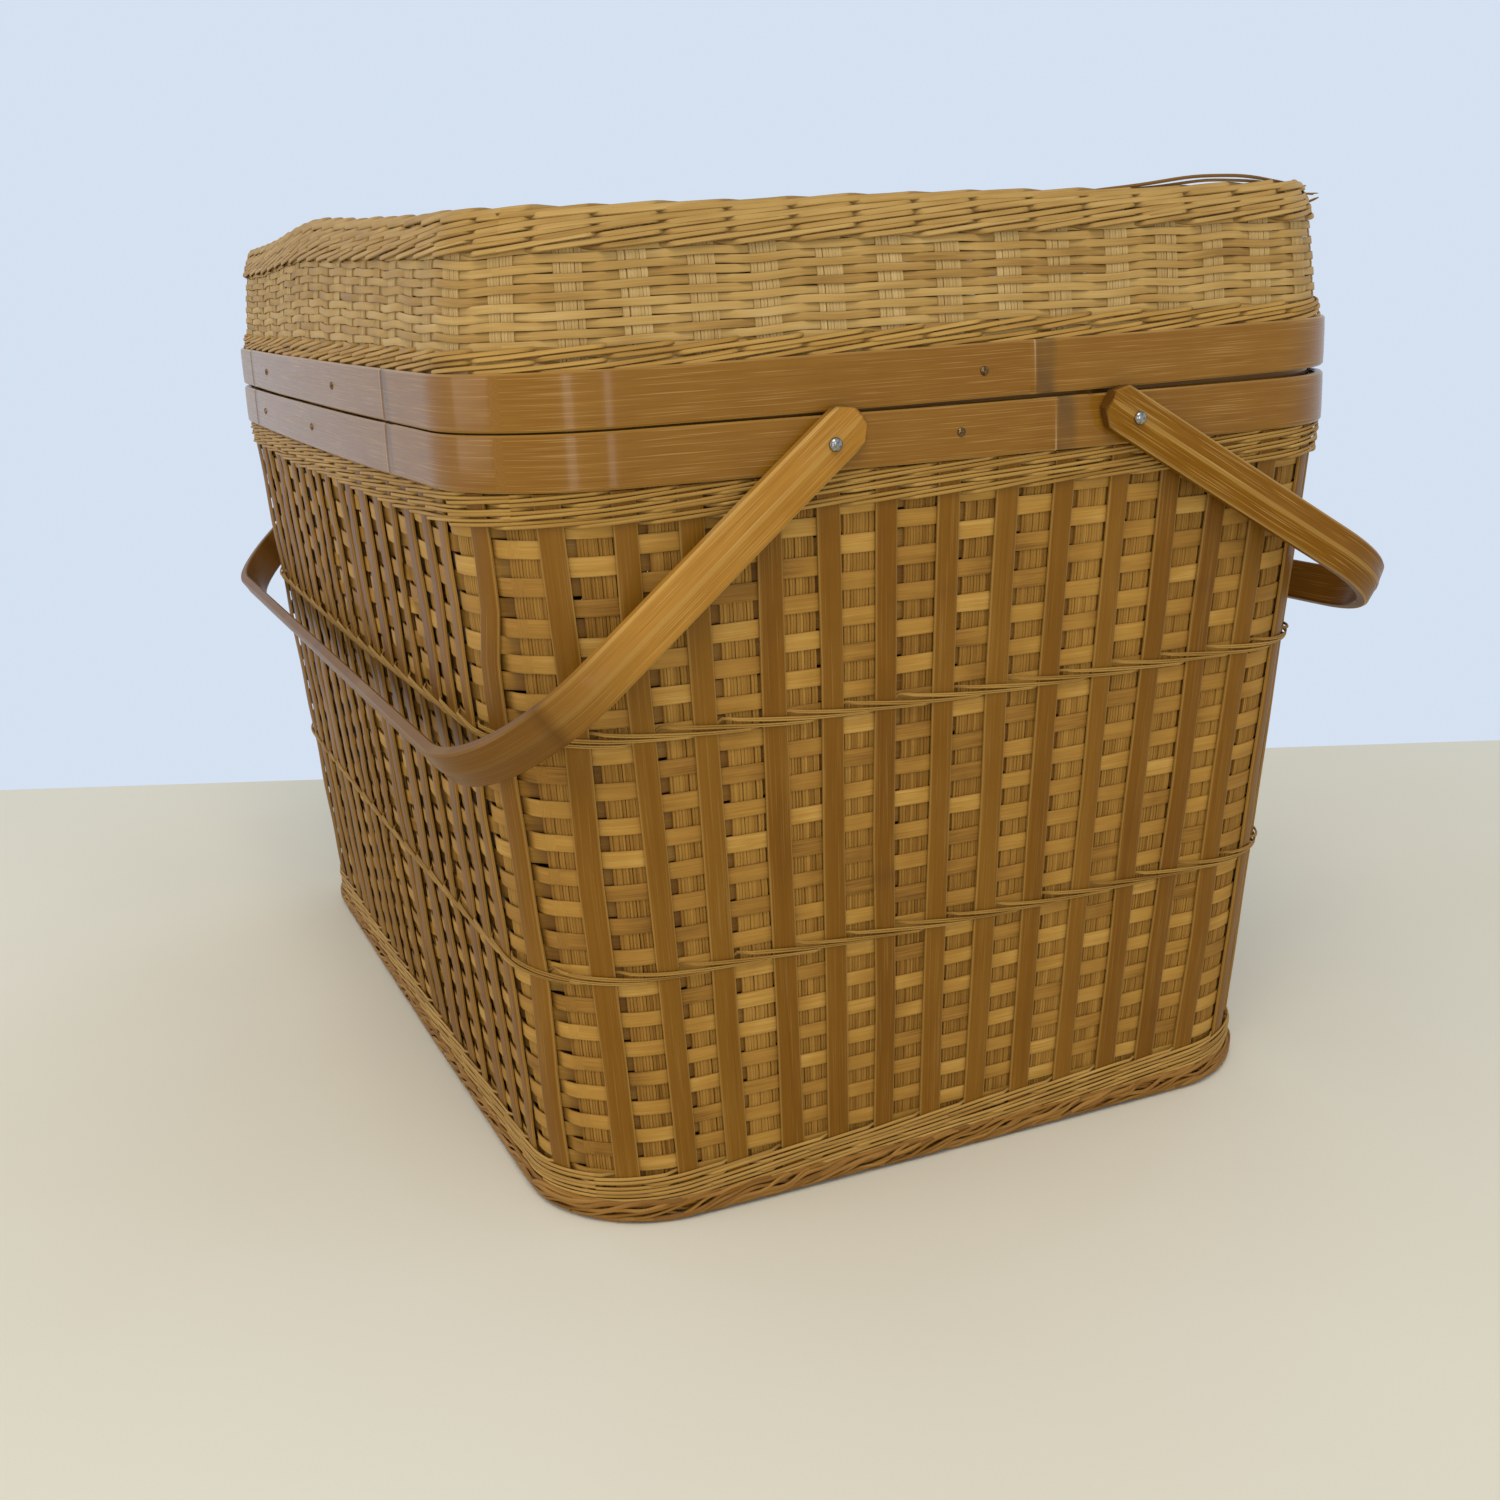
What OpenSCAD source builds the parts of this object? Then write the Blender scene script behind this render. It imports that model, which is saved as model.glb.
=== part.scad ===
// Lidded woven bamboo basket with two bail handles. Millimetres, +Z up.
// The short faces are at -Y and +Y and carry the handle rivets. The long faces are at -X and +X.
// The origin is the centre of the rest face.

/* [Shown node] */
// Node to draw on its own, or all

/* [Rim] */
// Half width of the rim band across X, at the corners' tangent points
rim_half_x = 183; // [120:1:250]
// Half length of the rim band along Y
rim_half_y = 261.5; // [160:0.5:350]
// Corner radius of the rim band, outside
rim_corner = 50; // [20:1:90]
// Outward bow of the long faces at the rim
rim_bow_x = 5; // [0:0.5:10]
// Outward bow of the short faces at the rim
rim_bow_y = 8; // [0:0.5:12]
// Height of the rim's top edge
rim_z = 300; // [150:1:450]
// Height of a bamboo band
band_h = 19; // [10:0.5:30]
// Thickness of a bamboo band
band_t = 3; // [2:0.5:6]
// Height of the inner band's lip above the rim
lip_h = 9.5; // [4:0.5:15]

/* [Body] */
// Half width of the woven wall's outer face at the floor
foot_half_x = 158.5; // [100:0.5:240]
// Half length of the woven wall's outer face at the floor
foot_half_y = 235.5; // [140:0.5:340]
// Corner radius of the woven wall at the floor
foot_corner = 46; // [20:1:90]
// Outward bow of the walls at the floor
foot_bow = 1.5; // [0:0.5:6]
// Thickness of the woven wall and floor
weave_t = 2.5; // [1.5:0.5:5]
// Width of one upright slat
slat_w = 8.75; // [4:0.25:16]
// Thickness of one upright slat
slat_t = 1.2; // [0.8:0.1:3]
// Slats on each short face
slats_short = 14; // [6:1:24]
// Slats on each long face
slats_long = 20; // [8:1:32]
// Radial thickness of a twined row
twine_t = 2.2; // [1:0.1:4]
// Middle heights of the two rows of twining around the wall
row_z = [102.5, 194];
// Height of one row of twining
row_h = 7; // [3:0.5:12]
// Height of the foot border
foot_h = 10; // [5:0.5:20]
// Radial thickness of the foot border
foot_t = 3.6; // [2:0.1:8]

/* [Lid] */
// Gap between the body's and the lid's bands
lid_gap = 1.5; // [0.5:0.1:4]
// Height of the lid wall's top edge above the lid band
lid_wall_h = 50; // [20:1:90]
// How far the lid wall leans in from bottom to top
lid_lean = 7; // [0:0.5:20]
// Rise of the lid's top panel towards its middle
lid_rise = 6; // [0:1:20]
// Height of the twined rows above the lid band
lid_lower_h = 7; // [3:0.5:12]
// Height of the twined border on the lid's shoulder
lid_upper_h = 16; // [6:1:24]

/* [Handles] */
// Distance of the handle rivets from the middle of the short faces
pivot_x = 61.6; // [30:0.1:100]
// Height of the handle rivets
pivot_z = 290.6; // [150:0.1:400]
// Rivet to the middle of the crossbar
bail_l = 167; // [100:1:230]
// Width of the handle strip
strip_w = 17; // [10:0.5:28]
// Thickness of the handle strip
strip_t = 5.5; // [3:0.5:9]
// Bend radius to the middle of the strip
bend_r = 55; // [20:1:90]
// Length of the strip beyond the rivet
tail_l = 14; // [8:1:24]
// Chamfer on the corners of the strip's ends
tail_chamfer = 5; // [1:0.5:8]
// Angle of the left handle below horizontal
left_angle = 38.8; // [0:0.1:60]
// Angle of the right handle below horizontal
right_angle = 30.8; // [0:0.1:60]

/* [Fastenings] */
// Radius of a rivet's shank
rivet_r = 1.6; // [1:0.1:3]
// Radius of a rivet's head
rivet_head_r = 2.5; // [1.5:0.1:5]
// Radius of a brad's shank
brad_r = 0.8; // [0.5:0.1:2]
// Radius of a brad's head
brad_head_r = 1.7; // [1:0.1:3]

/* [Hidden] */

play = 0.3;                    // gap between neighbouring pieces
running_play = 0.05;           // radial play of a handle on its rivet
eps = 0.01;
corner_steps = 10;
side_steps = 8;

weave_in = band_t + play;                    // inset of the weave behind the outer band
inner_in = weave_in + weave_t + play;        // inset of the inner band
band_bottom = rim_z - band_h;
slat_lift = play;
slat_out = slat_lift + slat_t;               // slat's outer face beyond the wall
twine_lift = slat_out + play;                // twining's inner face beyond the wall
lid_band_z = rim_z + lid_gap;
lid_band_top = lid_band_z + band_h;
lid_seat_z = rim_z + lip_h + play;           // underside of the parts that rest on the lip
lid_top_z = lid_band_top + lid_wall_h;
handle_in = rim_half_y + rim_bow_y + 0.35;   // handle's inner face, from the middle
handle_mid = handle_in + strip_t / 2;

BAMBOO = [0.62, 0.40, 0.17];
SLAT = [0.60, 0.38, 0.13];
WEAVE = [0.78, 0.64, 0.40];
TWINE = [0.66, 0.50, 0.28];
BRASS = [0.45, 0.36, 0.20];
STEEL = [0.75, 0.76, 0.78];

// Outline of a bowed, round-cornered rectangle, anticlockwise
function outline(a, b, r, bow_x, bow_y) = [for (q = raw_outline(a, b, r))
    [q.x * (1 + bow_x / a * (1 - pow(q.y / b, 2))), q.y * (1 + bow_y / b * (1 - pow(q.x / a, 2)))]];

function raw_outline(a, b, r) = [for (k = [0:3]) each quarter(a, b, r, k)];

// One rounded corner and the straight side that follows it
function quarter(a, b, r, k) =
    let (sx = [1, -1, -1, 1][k], sy = [1, 1, -1, -1][k], cx = sx * (a - r), cy = sy * (b - r),
        run = k % 2 == 0 ? [-2 * cx, 0] : [0, -2 * cy])
    concat(
        [for (i = [0:corner_steps])
            let (t = 90 * (k + i / corner_steps)) [cx + r * cos(t), cy + r * sin(t)]],
        [for (i = [1:side_steps - 1])
            let (t = 90 * (k + 1)) [cx + r * cos(t), cy + r * sin(t)] + run * i / side_steps]);

// Outline of the rim, set in from the band's outer face
function rim_outline(inset) =
    outline(rim_half_x - inset, rim_half_y - inset, rim_corner - inset, rim_bow_x, rim_bow_y);

function mix(u, v, t) = u * (1 - t) + v * t;

// Outline at a height on the body wall, set out from its outer face
function wall_outline(z, out) =
    let (t = min(1, z / band_bottom))
    outline(
        mix(foot_half_x, rim_half_x - weave_in, t) + out,
        mix(foot_half_y, rim_half_y - weave_in, t) + out,
        mix(foot_corner, rim_corner - weave_in, t) + out,
        mix(foot_bow, rim_bow_x, t), mix(foot_bow, rim_bow_y, t));

// Outline at a height on the lid wall, set out from its outer face
function lid_outline(z, out) =
    rim_outline(weave_in + lid_lean * max(0, (z - lid_band_top) / lid_wall_h) - out);

function at_height(points, z) = [for (q = points) [q.x, q.y, z]];

// Closed solid swept through rings of equal point count. Capped ends unless the sweep closes
module loft(rings, closed = false) {
    n = len(rings[0]);
    m = len(rings);
    spans = closed ? m : m - 1;
    sides = [for (j = [0:spans - 1], i = [0:n - 1])
        let (a = j * n + i, b = j * n + (i + 1) % n,
            c = ((j + 1) % m) * n + (i + 1) % n, d = ((j + 1) % m) * n + i)
        each [[a, d, c], [a, c, b]]];
    caps = closed ? [] : [[for (i = [0:n - 1]) i], [for (i = [0:n - 1]) m * n - 1 - i]];
    polyhedron(points = [for (r = rings) each r], faces = concat(sides, caps), convexity = 4);
}

// Upright band between two insets from the rim outline
module rim_band(inset, thickness, z, h) {
    translate([0, 0, z])
        linear_extrude(height = h)
            difference() {
                polygon(rim_outline(inset));
                polygon(rim_outline(inset + thickness));
            }
}

// Upright ring outside the body wall, clear of it at the ring's top
module wall_ring(z, h, lift, thickness) {
    translate([0, 0, z])
        linear_extrude(height = h)
            difference() {
                polygon(wall_outline(z + h, lift + thickness));
                polygon(wall_outline(z + h, lift));
            }
}

// Ring that follows the lid wall's lean
module lid_ring(z, h, lift, thickness) {
    loft([at_height(lid_outline(z, lift + thickness), z),
        at_height(lid_outline(z + h, lift + thickness), z + h),
        at_height(lid_outline(z + h, lift), z + h),
        at_height(lid_outline(z, lift), z)], closed = true);
}

// Share of a short face, from its middle: up to 1 on the straight, then 1 more for the corner
function face_share(a, r, s) =
    let (straight = a - r, over = max(0, abs(s) - straight))
    (s < 0 ? -1 : 1) * (min(abs(s), straight) / straight + over / (r * PI / 2));

// Point on a short face or its corners at a share, with its turn about Z
function short_point(a, b, r, bow_x, bow_y, share) =
    let (t = 90 * max(0, abs(share) - 1), side = share < 0 ? -1 : 1,
        x = side * (min(1, abs(share)) * (a - r) + r * sin(t)), y = r - b - r * cos(t))
    [x * (1 + bow_x / a * (1 - pow(y / b, 2))), y * (1 + bow_y / b * (1 - pow(x / a, 2))),
        side * t];

// One upright slat, given its foot and head points and its turn about Z
module slat(foot, head, turn, foot_z, head_z) {
    p = [foot.x, foot.y, foot_z];
    up = [head.x, head.y, head_z] - p;
    out = [sin(turn), -cos(turn), 0];
    side = cross(out, up) / norm(cross(out, up));
    face = cross(up, side) / norm(up);
    v = up / norm(up);
    multmatrix([[side.x, face.x, v.x, p.x], [side.y, face.y, v.y, p.y], [side.z, face.z, v.z, p.z]])
        translate([-slat_w / 2, 0, 0])
            cube([slat_w, slat_t, norm(up)]);
}

slat_foot_z = 1;
slat_head_z = band_bottom - 0.5;

// Slats along one face, from its half sizes at the floor and at the rim
module slat_row(count, foot_a, foot_b, head_a, head_b, bow_x, bow_y) {
    head_r = rim_corner - weave_in;
    reach = head_a - head_r + head_r * PI / 4;
    foot_t = slat_foot_z / band_bottom;
    head_t = slat_head_z / band_bottom;
    for (i = [0:count - 1]) {
        share = face_share(head_a, head_r, ((i + 0.5) / count * 2 - 1) * reach);
        ends = [for (t = [foot_t, head_t])
            short_point(
                mix(foot_a, head_a, t) + slat_lift, mix(foot_b, head_b, t) + slat_lift,
                mix(foot_corner, head_r, t) + slat_lift,
                mix(foot_bow, bow_x, t), mix(foot_bow, bow_y, t), share)];
        slat(ends[0], ends[1], ends[0][2], slat_foot_z, slat_head_z);
    }
}

module short_slats() {
    color(SLAT)
        slat_row(slats_short, foot_half_x, foot_half_y,
            rim_half_x - weave_in, rim_half_y - weave_in, rim_bow_x, rim_bow_y);
}

module long_slats() {
    color(SLAT)
        rotate([0, 0, -90])
            slat_row(slats_long, foot_half_y, foot_half_x,
                rim_half_y - weave_in, rim_half_x - weave_in, rim_bow_y, rim_bow_x);
}

// Distance of the band's outer face from the middle, at x along a short face
function short_reach(x) = rim_half_y + rim_bow_y * (1 - pow(x / rim_half_x, 2));

// Distance of the band's outer face from the middle, at y along a long face
function long_reach(y) = rim_half_x + rim_bow_x * (1 - pow(y / rim_half_y, 2));

// Where brads sit, as [face turn, distance along the face, reach]
function brad_places(short_x, long_y) = concat(
    [for (k = [0, 1]) [180 * k, short_x, short_reach(short_x)]],
    [for (k = [0, 1], y = long_y) [180 * k - 90, y, long_reach(y)]]);

body_brad_places = brad_places(-9.5, [-133, 6]);
lid_brad_places = brad_places(0, [-113, 62]);
body_brad_z = band_bottom + band_h / 2;
lid_brad_z = lid_band_z + band_h / 2;

module each_place(places) {
    for (q = places)
        rotate([0, 0, q[0]])
            translate([q[1], -q[2], 0])
                rotate([-90, 0, 0])
                    children();
}

// Holes for brads through bands and weave
module brad_holes(places, z) {
    translate([0, 0, z])
        each_place(places)
            translate([0, 0, -2])
                cylinder(h = 20, r = brad_r + 0.1, $fn = 20);
}

// One brad, head outwards
module brad() {
    translate([0, 0, -0.3])
        cylinder(h = inner_in + band_t - 0.2, r = brad_r, $fn = 20);
    translate([0, 0, -0.9])
        cylinder(h = 0.6 + eps, r1 = brad_head_r * 0.6, r2 = brad_head_r, $fn = 24);
}

module brads(places, z) {
    color(BRASS)
        translate([0, 0, z])
            each_place(places)
                brad();
}

// Holes for the four handle rivets through bands and weave
module rivet_holes() {
    for (sx = [-1, 1], sy = [-1, 1])
        translate([sx * pivot_x, sy * (rim_half_y - 25), pivot_z])
            rotate([-90 * sy, 0, 0])
                cylinder(h = 50, r = rivet_r + 0.1, $fn = 32);
}

// Handle rivet on the face at +Y: tail inside the basket, domed head outside the handle
module rivet() {
    inside = short_reach(pivot_x) - inner_in - band_t - 0.8;
    outside = handle_in + strip_t + play;
    color(STEEL)
        translate([0, 0, pivot_z])
            rotate([-90, 0, 0]) {
                translate([0, 0, inside - 1])
                    cylinder(h = 1 + eps, r = rivet_head_r, $fn = 32);
                translate([0, 0, inside])
                    cylinder(h = outside - inside, r = rivet_r, $fn = 32);
                translate([0, 0, outside])
                    intersection() {
                        translate([0, 0, 1.8 - rivet_head_r * 1.25])
                            sphere(r = rivet_head_r * 1.25, $fn = 32);
                        cylinder(h = 2, r = rivet_head_r, $fn = 32);
                    }
            }
}

module base_panel() {
    color(WEAVE)
        linear_extrude(height = weave_t)
            polygon(wall_outline(0, -0.2));
}

module wall_weave() {
    foot = weave_t + play;
    top = rim_z - play;
    color(WEAVE)
        difference() {
            loft([at_height(wall_outline(foot, 0), foot),
                at_height(wall_outline(band_bottom, 0), band_bottom),
                at_height(wall_outline(top, 0), top),
                at_height(wall_outline(top, -weave_t), top),
                at_height(wall_outline(band_bottom, -weave_t), band_bottom),
                at_height(wall_outline(foot, -weave_t), foot)], closed = true);
            rivet_holes();
            brad_holes(body_brad_places, body_brad_z);
        }
}

module slats_front() {
    short_slats();
}

module slats_back() {
    rotate([0, 0, 180])
        short_slats();
}

module slats_left() {
    long_slats();
}

module slats_right() {
    rotate([0, 0, 180])
        long_slats();
}

module rim_outer_band() {
    color(BAMBOO)
        difference() {
            rim_band(0, band_t, band_bottom, band_h);
            rivet_holes();
            brad_holes(body_brad_places, body_brad_z);
        }
}

module rim_inner_band() {
    color(BAMBOO)
        difference() {
            rim_band(inner_in, band_t, band_bottom + 3, band_h - 3 + lip_h);
            rivet_holes();
            brad_holes(body_brad_places, body_brad_z);
        }
}

module twining_rim() {
    h = 11;
    color(TWINE)
        wall_ring(band_bottom - play - h, h, twine_lift, twine_t);
}

module twining_upper() {
    color(TWINE)
        wall_ring(row_z[1] - row_h / 2, row_h, twine_lift, twine_t);
}

module twining_lower() {
    color(TWINE)
        wall_ring(row_z[0] - row_h / 2, row_h, twine_lift, twine_t);
}

module twining_base() {
    color(TWINE)
        wall_ring(foot_h + play, 9, twine_lift, twine_t);
}

module foot_border() {
    color(TWINE)
        wall_ring(0, foot_h, twine_lift, foot_t);
}

module body_brads() {
    brads(body_brad_places, body_brad_z);
}

module rivet_front_left() {
    mirror([0, 1, 0])
        translate([-pivot_x, 0, 0])
            rivet();
}

module rivet_front_right() {
    mirror([0, 1, 0])
        translate([pivot_x, 0, 0])
            rivet();
}

module rivet_back_left() {
    translate([-pivot_x, 0, 0])
        rivet();
}

module rivet_back_right() {
    translate([pivot_x, 0, 0])
        rivet();
}

// Round-cornered U outline, open at its foot, reaching l along X and half w along Y
module u_outline(l, w, r) {
    translate([-tail_l, -w])
        square([tail_l + l - r, 2 * w]);
    translate([l - r - eps, -(w - r)])
        square([r + eps, 2 * (w - r)]);
    for (s = [-1, 1])
        translate([l - r, s * (w - r)])
            circle(r = r, $fn = 96);
}

// Handle with its arms along +X from the rivets and its strip's width along Z
module bail() {
    c = tail_chamfer;
    w = strip_w / 2;
    far = bail_l + strip_t;
    difference() {
        intersection() {
            translate([0, 0, -w])
                linear_extrude(height = strip_w)
                    difference() {
                        u_outline(bail_l + strip_t / 2, handle_in + strip_t, bend_r + strip_t / 2);
                        translate([-1, 0])
                            u_outline(bail_l - strip_t / 2 + 1, handle_in, bend_r - strip_t / 2);
                    }
            rotate([90, 0, 0])
                linear_extrude(height = 3 * handle_in, center = true)
                    polygon([[-tail_l, c - w], [c - tail_l, -w], [far, -w], [far, w],
                        [c - tail_l, w], [-tail_l, w - c]]);
        }
        rotate([90, 0, 0])
            cylinder(h = 3 * handle_in, r = rivet_r + running_play, center = true, $fn = 48);
    }
}

module left_handle() {
    color(BAMBOO)
        mirror([1, 0, 0])
            translate([pivot_x, 0, pivot_z])
                rotate([0, left_angle, 0])
                    bail();
}

module right_handle() {
    color(BAMBOO)
        translate([pivot_x, 0, pivot_z])
            rotate([0, right_angle, 0])
                bail();
}

module lid_wall_weave() {
    top = lid_top_z - weave_t - play;
    color(WEAVE)
        difference() {
            loft([at_height(lid_outline(lid_seat_z, 0), lid_seat_z),
                at_height(lid_outline(lid_band_top, 0), lid_band_top),
                at_height(lid_outline(top, 0), top),
                at_height(lid_outline(top, -weave_t), top),
                at_height(lid_outline(lid_band_top, -weave_t), lid_band_top),
                at_height(lid_outline(lid_seat_z, -weave_t), lid_seat_z)], closed = true);
            brad_holes(lid_brad_places, lid_brad_z);
        }
}

// One ring of the lid's top panel, a fraction of the way out to its edge
function dome_ring(f, z) =
    [for (q = lid_outline(lid_top_z, -0.2)) [q.x * f, q.y * f, z + lid_rise * (1 - f * f)]];

module lid_top_panel() {
    rings = [0.02, 0.25, 0.5, 0.75, 1];
    color(WEAVE)
        loft(concat([for (f = rings) dome_ring(f, lid_top_z - weave_t)],
            [for (i = [4:-1:0]) dome_ring(rings[i], lid_top_z)]));
}

module lid_outer_band() {
    color(BAMBOO)
        difference() {
            rim_band(0, band_t, lid_band_z, band_h);
            brad_holes(lid_brad_places, lid_brad_z);
        }
}

module lid_inner_band() {
    color(BAMBOO)
        difference() {
            rim_band(inner_in, band_t, lid_seat_z, lid_band_top - lid_seat_z + 2);
            brad_holes(lid_brad_places, lid_brad_z);
        }
}

module lid_twining_lower() {
    color(TWINE)
        lid_ring(lid_band_top + play, lid_lower_h, play, twine_t);
}

module lid_twining_upper() {
    color(TWINE)
        lid_ring(lid_top_z - lid_upper_h, lid_upper_h, play, twine_t);
}

module lid_brads() {
    brads(lid_brad_places, lid_brad_z);
}

base_panel();
wall_weave();
slats_front();
slats_back();
slats_left();
slats_right();
rim_outer_band();
rim_inner_band();
twining_rim();
twining_upper();
twining_lower();
twining_base();
foot_border();
body_brads();
rivet_front_left();
rivet_front_right();
rivet_back_left();
rivet_back_right();
left_handle();
right_handle();
lid_wall_weave();
lid_top_panel();
lid_outer_band();
lid_inner_band();
lid_twining_lower();
lid_twining_upper();
lid_brads();
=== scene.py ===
"""Woven bamboo sewing basket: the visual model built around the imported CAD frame.

Sizes are in millimetres until a mesh is made. Places round a wall are counted in slat pitches, u.
"""
import math

import bmesh
import bpy
import numpy as np
from mathutils import Matrix, Vector


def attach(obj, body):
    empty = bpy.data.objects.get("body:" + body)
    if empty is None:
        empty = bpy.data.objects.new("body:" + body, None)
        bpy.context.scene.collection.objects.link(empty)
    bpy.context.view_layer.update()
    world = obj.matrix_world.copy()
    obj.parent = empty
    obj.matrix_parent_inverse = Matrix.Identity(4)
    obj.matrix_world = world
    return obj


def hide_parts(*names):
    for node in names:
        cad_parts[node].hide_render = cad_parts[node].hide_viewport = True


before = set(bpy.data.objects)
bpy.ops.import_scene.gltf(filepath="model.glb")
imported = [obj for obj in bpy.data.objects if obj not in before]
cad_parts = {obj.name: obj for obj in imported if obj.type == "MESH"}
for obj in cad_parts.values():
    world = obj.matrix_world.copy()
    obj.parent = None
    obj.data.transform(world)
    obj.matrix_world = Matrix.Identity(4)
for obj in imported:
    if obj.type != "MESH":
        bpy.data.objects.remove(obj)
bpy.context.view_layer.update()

MM = 0.001
TAU = 2 * math.pi

# Driving sizes, the same as the CAD's where it has them. The foot's lean isn't in it.
RIM_X, RIM_Y, RIM_R = 183.0, 261.5, 50.0
RIM_BOW_X, RIM_BOW_Y = 5.0, 8.0
FOOT_X, FOOT_Y, FOOT_R, FOOT_BOW = 158.5, 235.5, 46.0, 1.5
FOOT_LEAN_X, FOOT_LEAN_Y = -3.0, -5.0
RIM_Z, BAND_H, BAND_T = 300.0, 19.0, 3.0
BAND_BOTTOM = RIM_Z - BAND_H
WEAVE_IN, WEAVE_T = 3.3, 2.5
INNER_IN = WEAVE_IN + WEAVE_T + 0.3
LIP_TOP = RIM_Z + 8.6
LID_BAND_Z = RIM_Z + 1.5
LID_BAND_TOP = LID_BAND_Z + BAND_H
LID_SEAT_Z = 309.8
LID_WALL_H, LID_LEAN, LID_RISE = 50.0, 7.0, 6.0
LID_TOP = LID_BAND_TOP + LID_WALL_H
SLATS_SHORT, SLATS_LONG = 14, 20
SLATS = 2 * (SLATS_SHORT + SLATS_LONG)
SLAT_W, SLAT_T, SLAT_LIFT = 8.75, 1.2, 0.3
LID_STAKES = 72
PIVOT_X, PIVOT_Z = 61.6, 290.6
BAIL_L, STRIP_W, STRIP_T, BEND_R = 167.0, 17.0, 5.5, 55.0
TAIL_L, TAIL_CHAMFER = 14.0, 5.0
LEFT_ANGLE, RIGHT_ANGLE = 38.8, 30.8
HANDLE_IN = RIM_Y + RIM_BOW_Y + 0.35

# Width of one slat pitch on the front and on the left, and the length of grain that it gets
FRONT_PITCH, LEFT_PITCH, GRAIN_PITCH = 24.6, 25.0, 24.9


# Shape of the walls

def body_section(z):
    """Half sizes, corner radius and bows of the body wall's outer face at height z."""
    t = np.minimum(1.0, np.asarray(z, float) / BAND_BOTTOM)
    head_x, head_y, head_r = RIM_X - WEAVE_IN, RIM_Y - WEAVE_IN, RIM_R - WEAVE_IN
    return (FOOT_X + (head_x - FOOT_X) * t, FOOT_Y + (head_y - FOOT_Y) * t,
            FOOT_R + (head_r - FOOT_R) * t, FOOT_BOW + (RIM_BOW_X - FOOT_BOW) * t,
            FOOT_BOW + (RIM_BOW_Y - FOOT_BOW) * t)


def lid_section(z):
    """The same for the lid wall, which leans in above its band and rounds over at the top."""
    t = np.clip((np.asarray(z, float) - LID_BAND_TOP) / LID_WALL_H, 0, 1.1)
    inset = WEAVE_IN + LID_LEAN * (0.55 * t + 0.45 * t ** 4)
    return (RIM_X - inset, RIM_Y - inset, RIM_R - inset, RIM_BOW_X + 0 * t, RIM_BOW_Y + 0 * t)


def rim_section(z):
    """The same for the upright rim band's outer face."""
    flat = 0 * np.asarray(z, float)
    return RIM_X + flat, RIM_Y + flat, RIM_R + flat, RIM_BOW_X + flat, RIM_BOW_Y + flat


FACE_NAMES = ("front", "right", "back", "left")
FACE_COUNTS = (SLATS_SHORT, SLATS_LONG, SLATS_SHORT, SLATS_LONG)
FACE_STARTS = np.cumsum((0,) + FACE_COUNTS[:-1])


def ring_point(section, u, z, out):
    """Points on a wall. u counts slat pitches round it, anticlockwise from the -X end of the front.

    out is the distance beyond the wall's outer face.
    """
    u, z, out = np.broadcast_arrays(np.asarray(u, float) % SLATS, np.asarray(z, float),
                                    np.asarray(out, float))
    a0, b0, r0, bow_x, bow_y = section(z)
    face = np.searchsorted(FACE_STARTS, u, side="right") - 1
    short = face % 2 == 0
    count = np.where(short, SLATS_SHORT, SLATS_LONG)
    head_r = RIM_R - WEAVE_IN
    straight = np.where(short, RIM_X, RIM_Y) - WEAVE_IN - head_r
    s = ((u - FACE_STARTS[face]) / count * 2 - 1) * (straight + head_r * math.pi / 4)
    over = np.maximum(0, np.abs(s) - straight)
    turn = over / head_r
    share = np.minimum(np.abs(s), straight) / straight
    a = np.where(short, a0, b0) + out
    b = np.where(short, b0, a0) + out
    r = r0 + out
    bx, by = np.where(short, bow_x, bow_y), np.where(short, bow_y, bow_x)
    x = np.sign(s) * (share * (a - r) + r * np.sin(turn))
    y = -(b - r) - r * np.cos(turn)
    x, y = x * (1 + bx / a * (1 - (y / b) ** 2)), y * (1 + by / b * (1 - (x / a) ** 2))
    cos, sin = np.array([1, 0, -1, 0])[face], np.array([0, 1, 0, -1])[face]
    lean = np.clip(1 - z / BAND_BOTTOM, 0, 1)
    return np.stack([x * cos - y * sin + FOOT_LEAN_X * lean, x * sin + y * cos + FOOT_LEAN_Y * lean, z], -1)


def mm_per_u(section, u, z):
    """Length along the wall of one slat pitch."""
    step = 0.02
    d = ring_point(section, u + step, z, 0) - ring_point(section, u - step, z, 0)
    return np.linalg.norm(d, axis=-1) / (2 * step)


def wobble(rng, n, reach, smooth):
    """Smooth random wander of n samples that closes on itself."""
    waves = np.arange(1, max(2, int(n / smooth)))
    phase = rng.uniform(0, TAU, len(waves))
    size = rng.normal(0, 1, len(waves))
    at = np.arange(n)[:, None] / n * TAU
    v = (size * np.sin(at * waves + phase)).sum(1)
    return reach * v / max(1e-9, np.abs(v).max())


# Mesh making

# Step of the seed from one strip to the next, which keeps their grain apart
SEED_STEP = 0.618


def as_object(name, mesh, material, sharp):
    """Shades a mesh smooth, apart from edges over sharp degrees, and puts it in the scene."""
    mesh.shade_smooth()
    mesh.set_sharp_from_angle(angle=math.radians(sharp))
    mesh.materials.append(material)
    ob = bpy.data.objects.new(name, mesh)
    bpy.context.scene.collection.objects.link(ob)
    return ob


def add_lift(grid, lift):
    """Raises a grid of points by the lid's tilt, where one is given."""
    if lift is not None:
        grid[..., 2] += lift(grid[..., 0], grid[..., 1], grid[..., 2])


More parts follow.
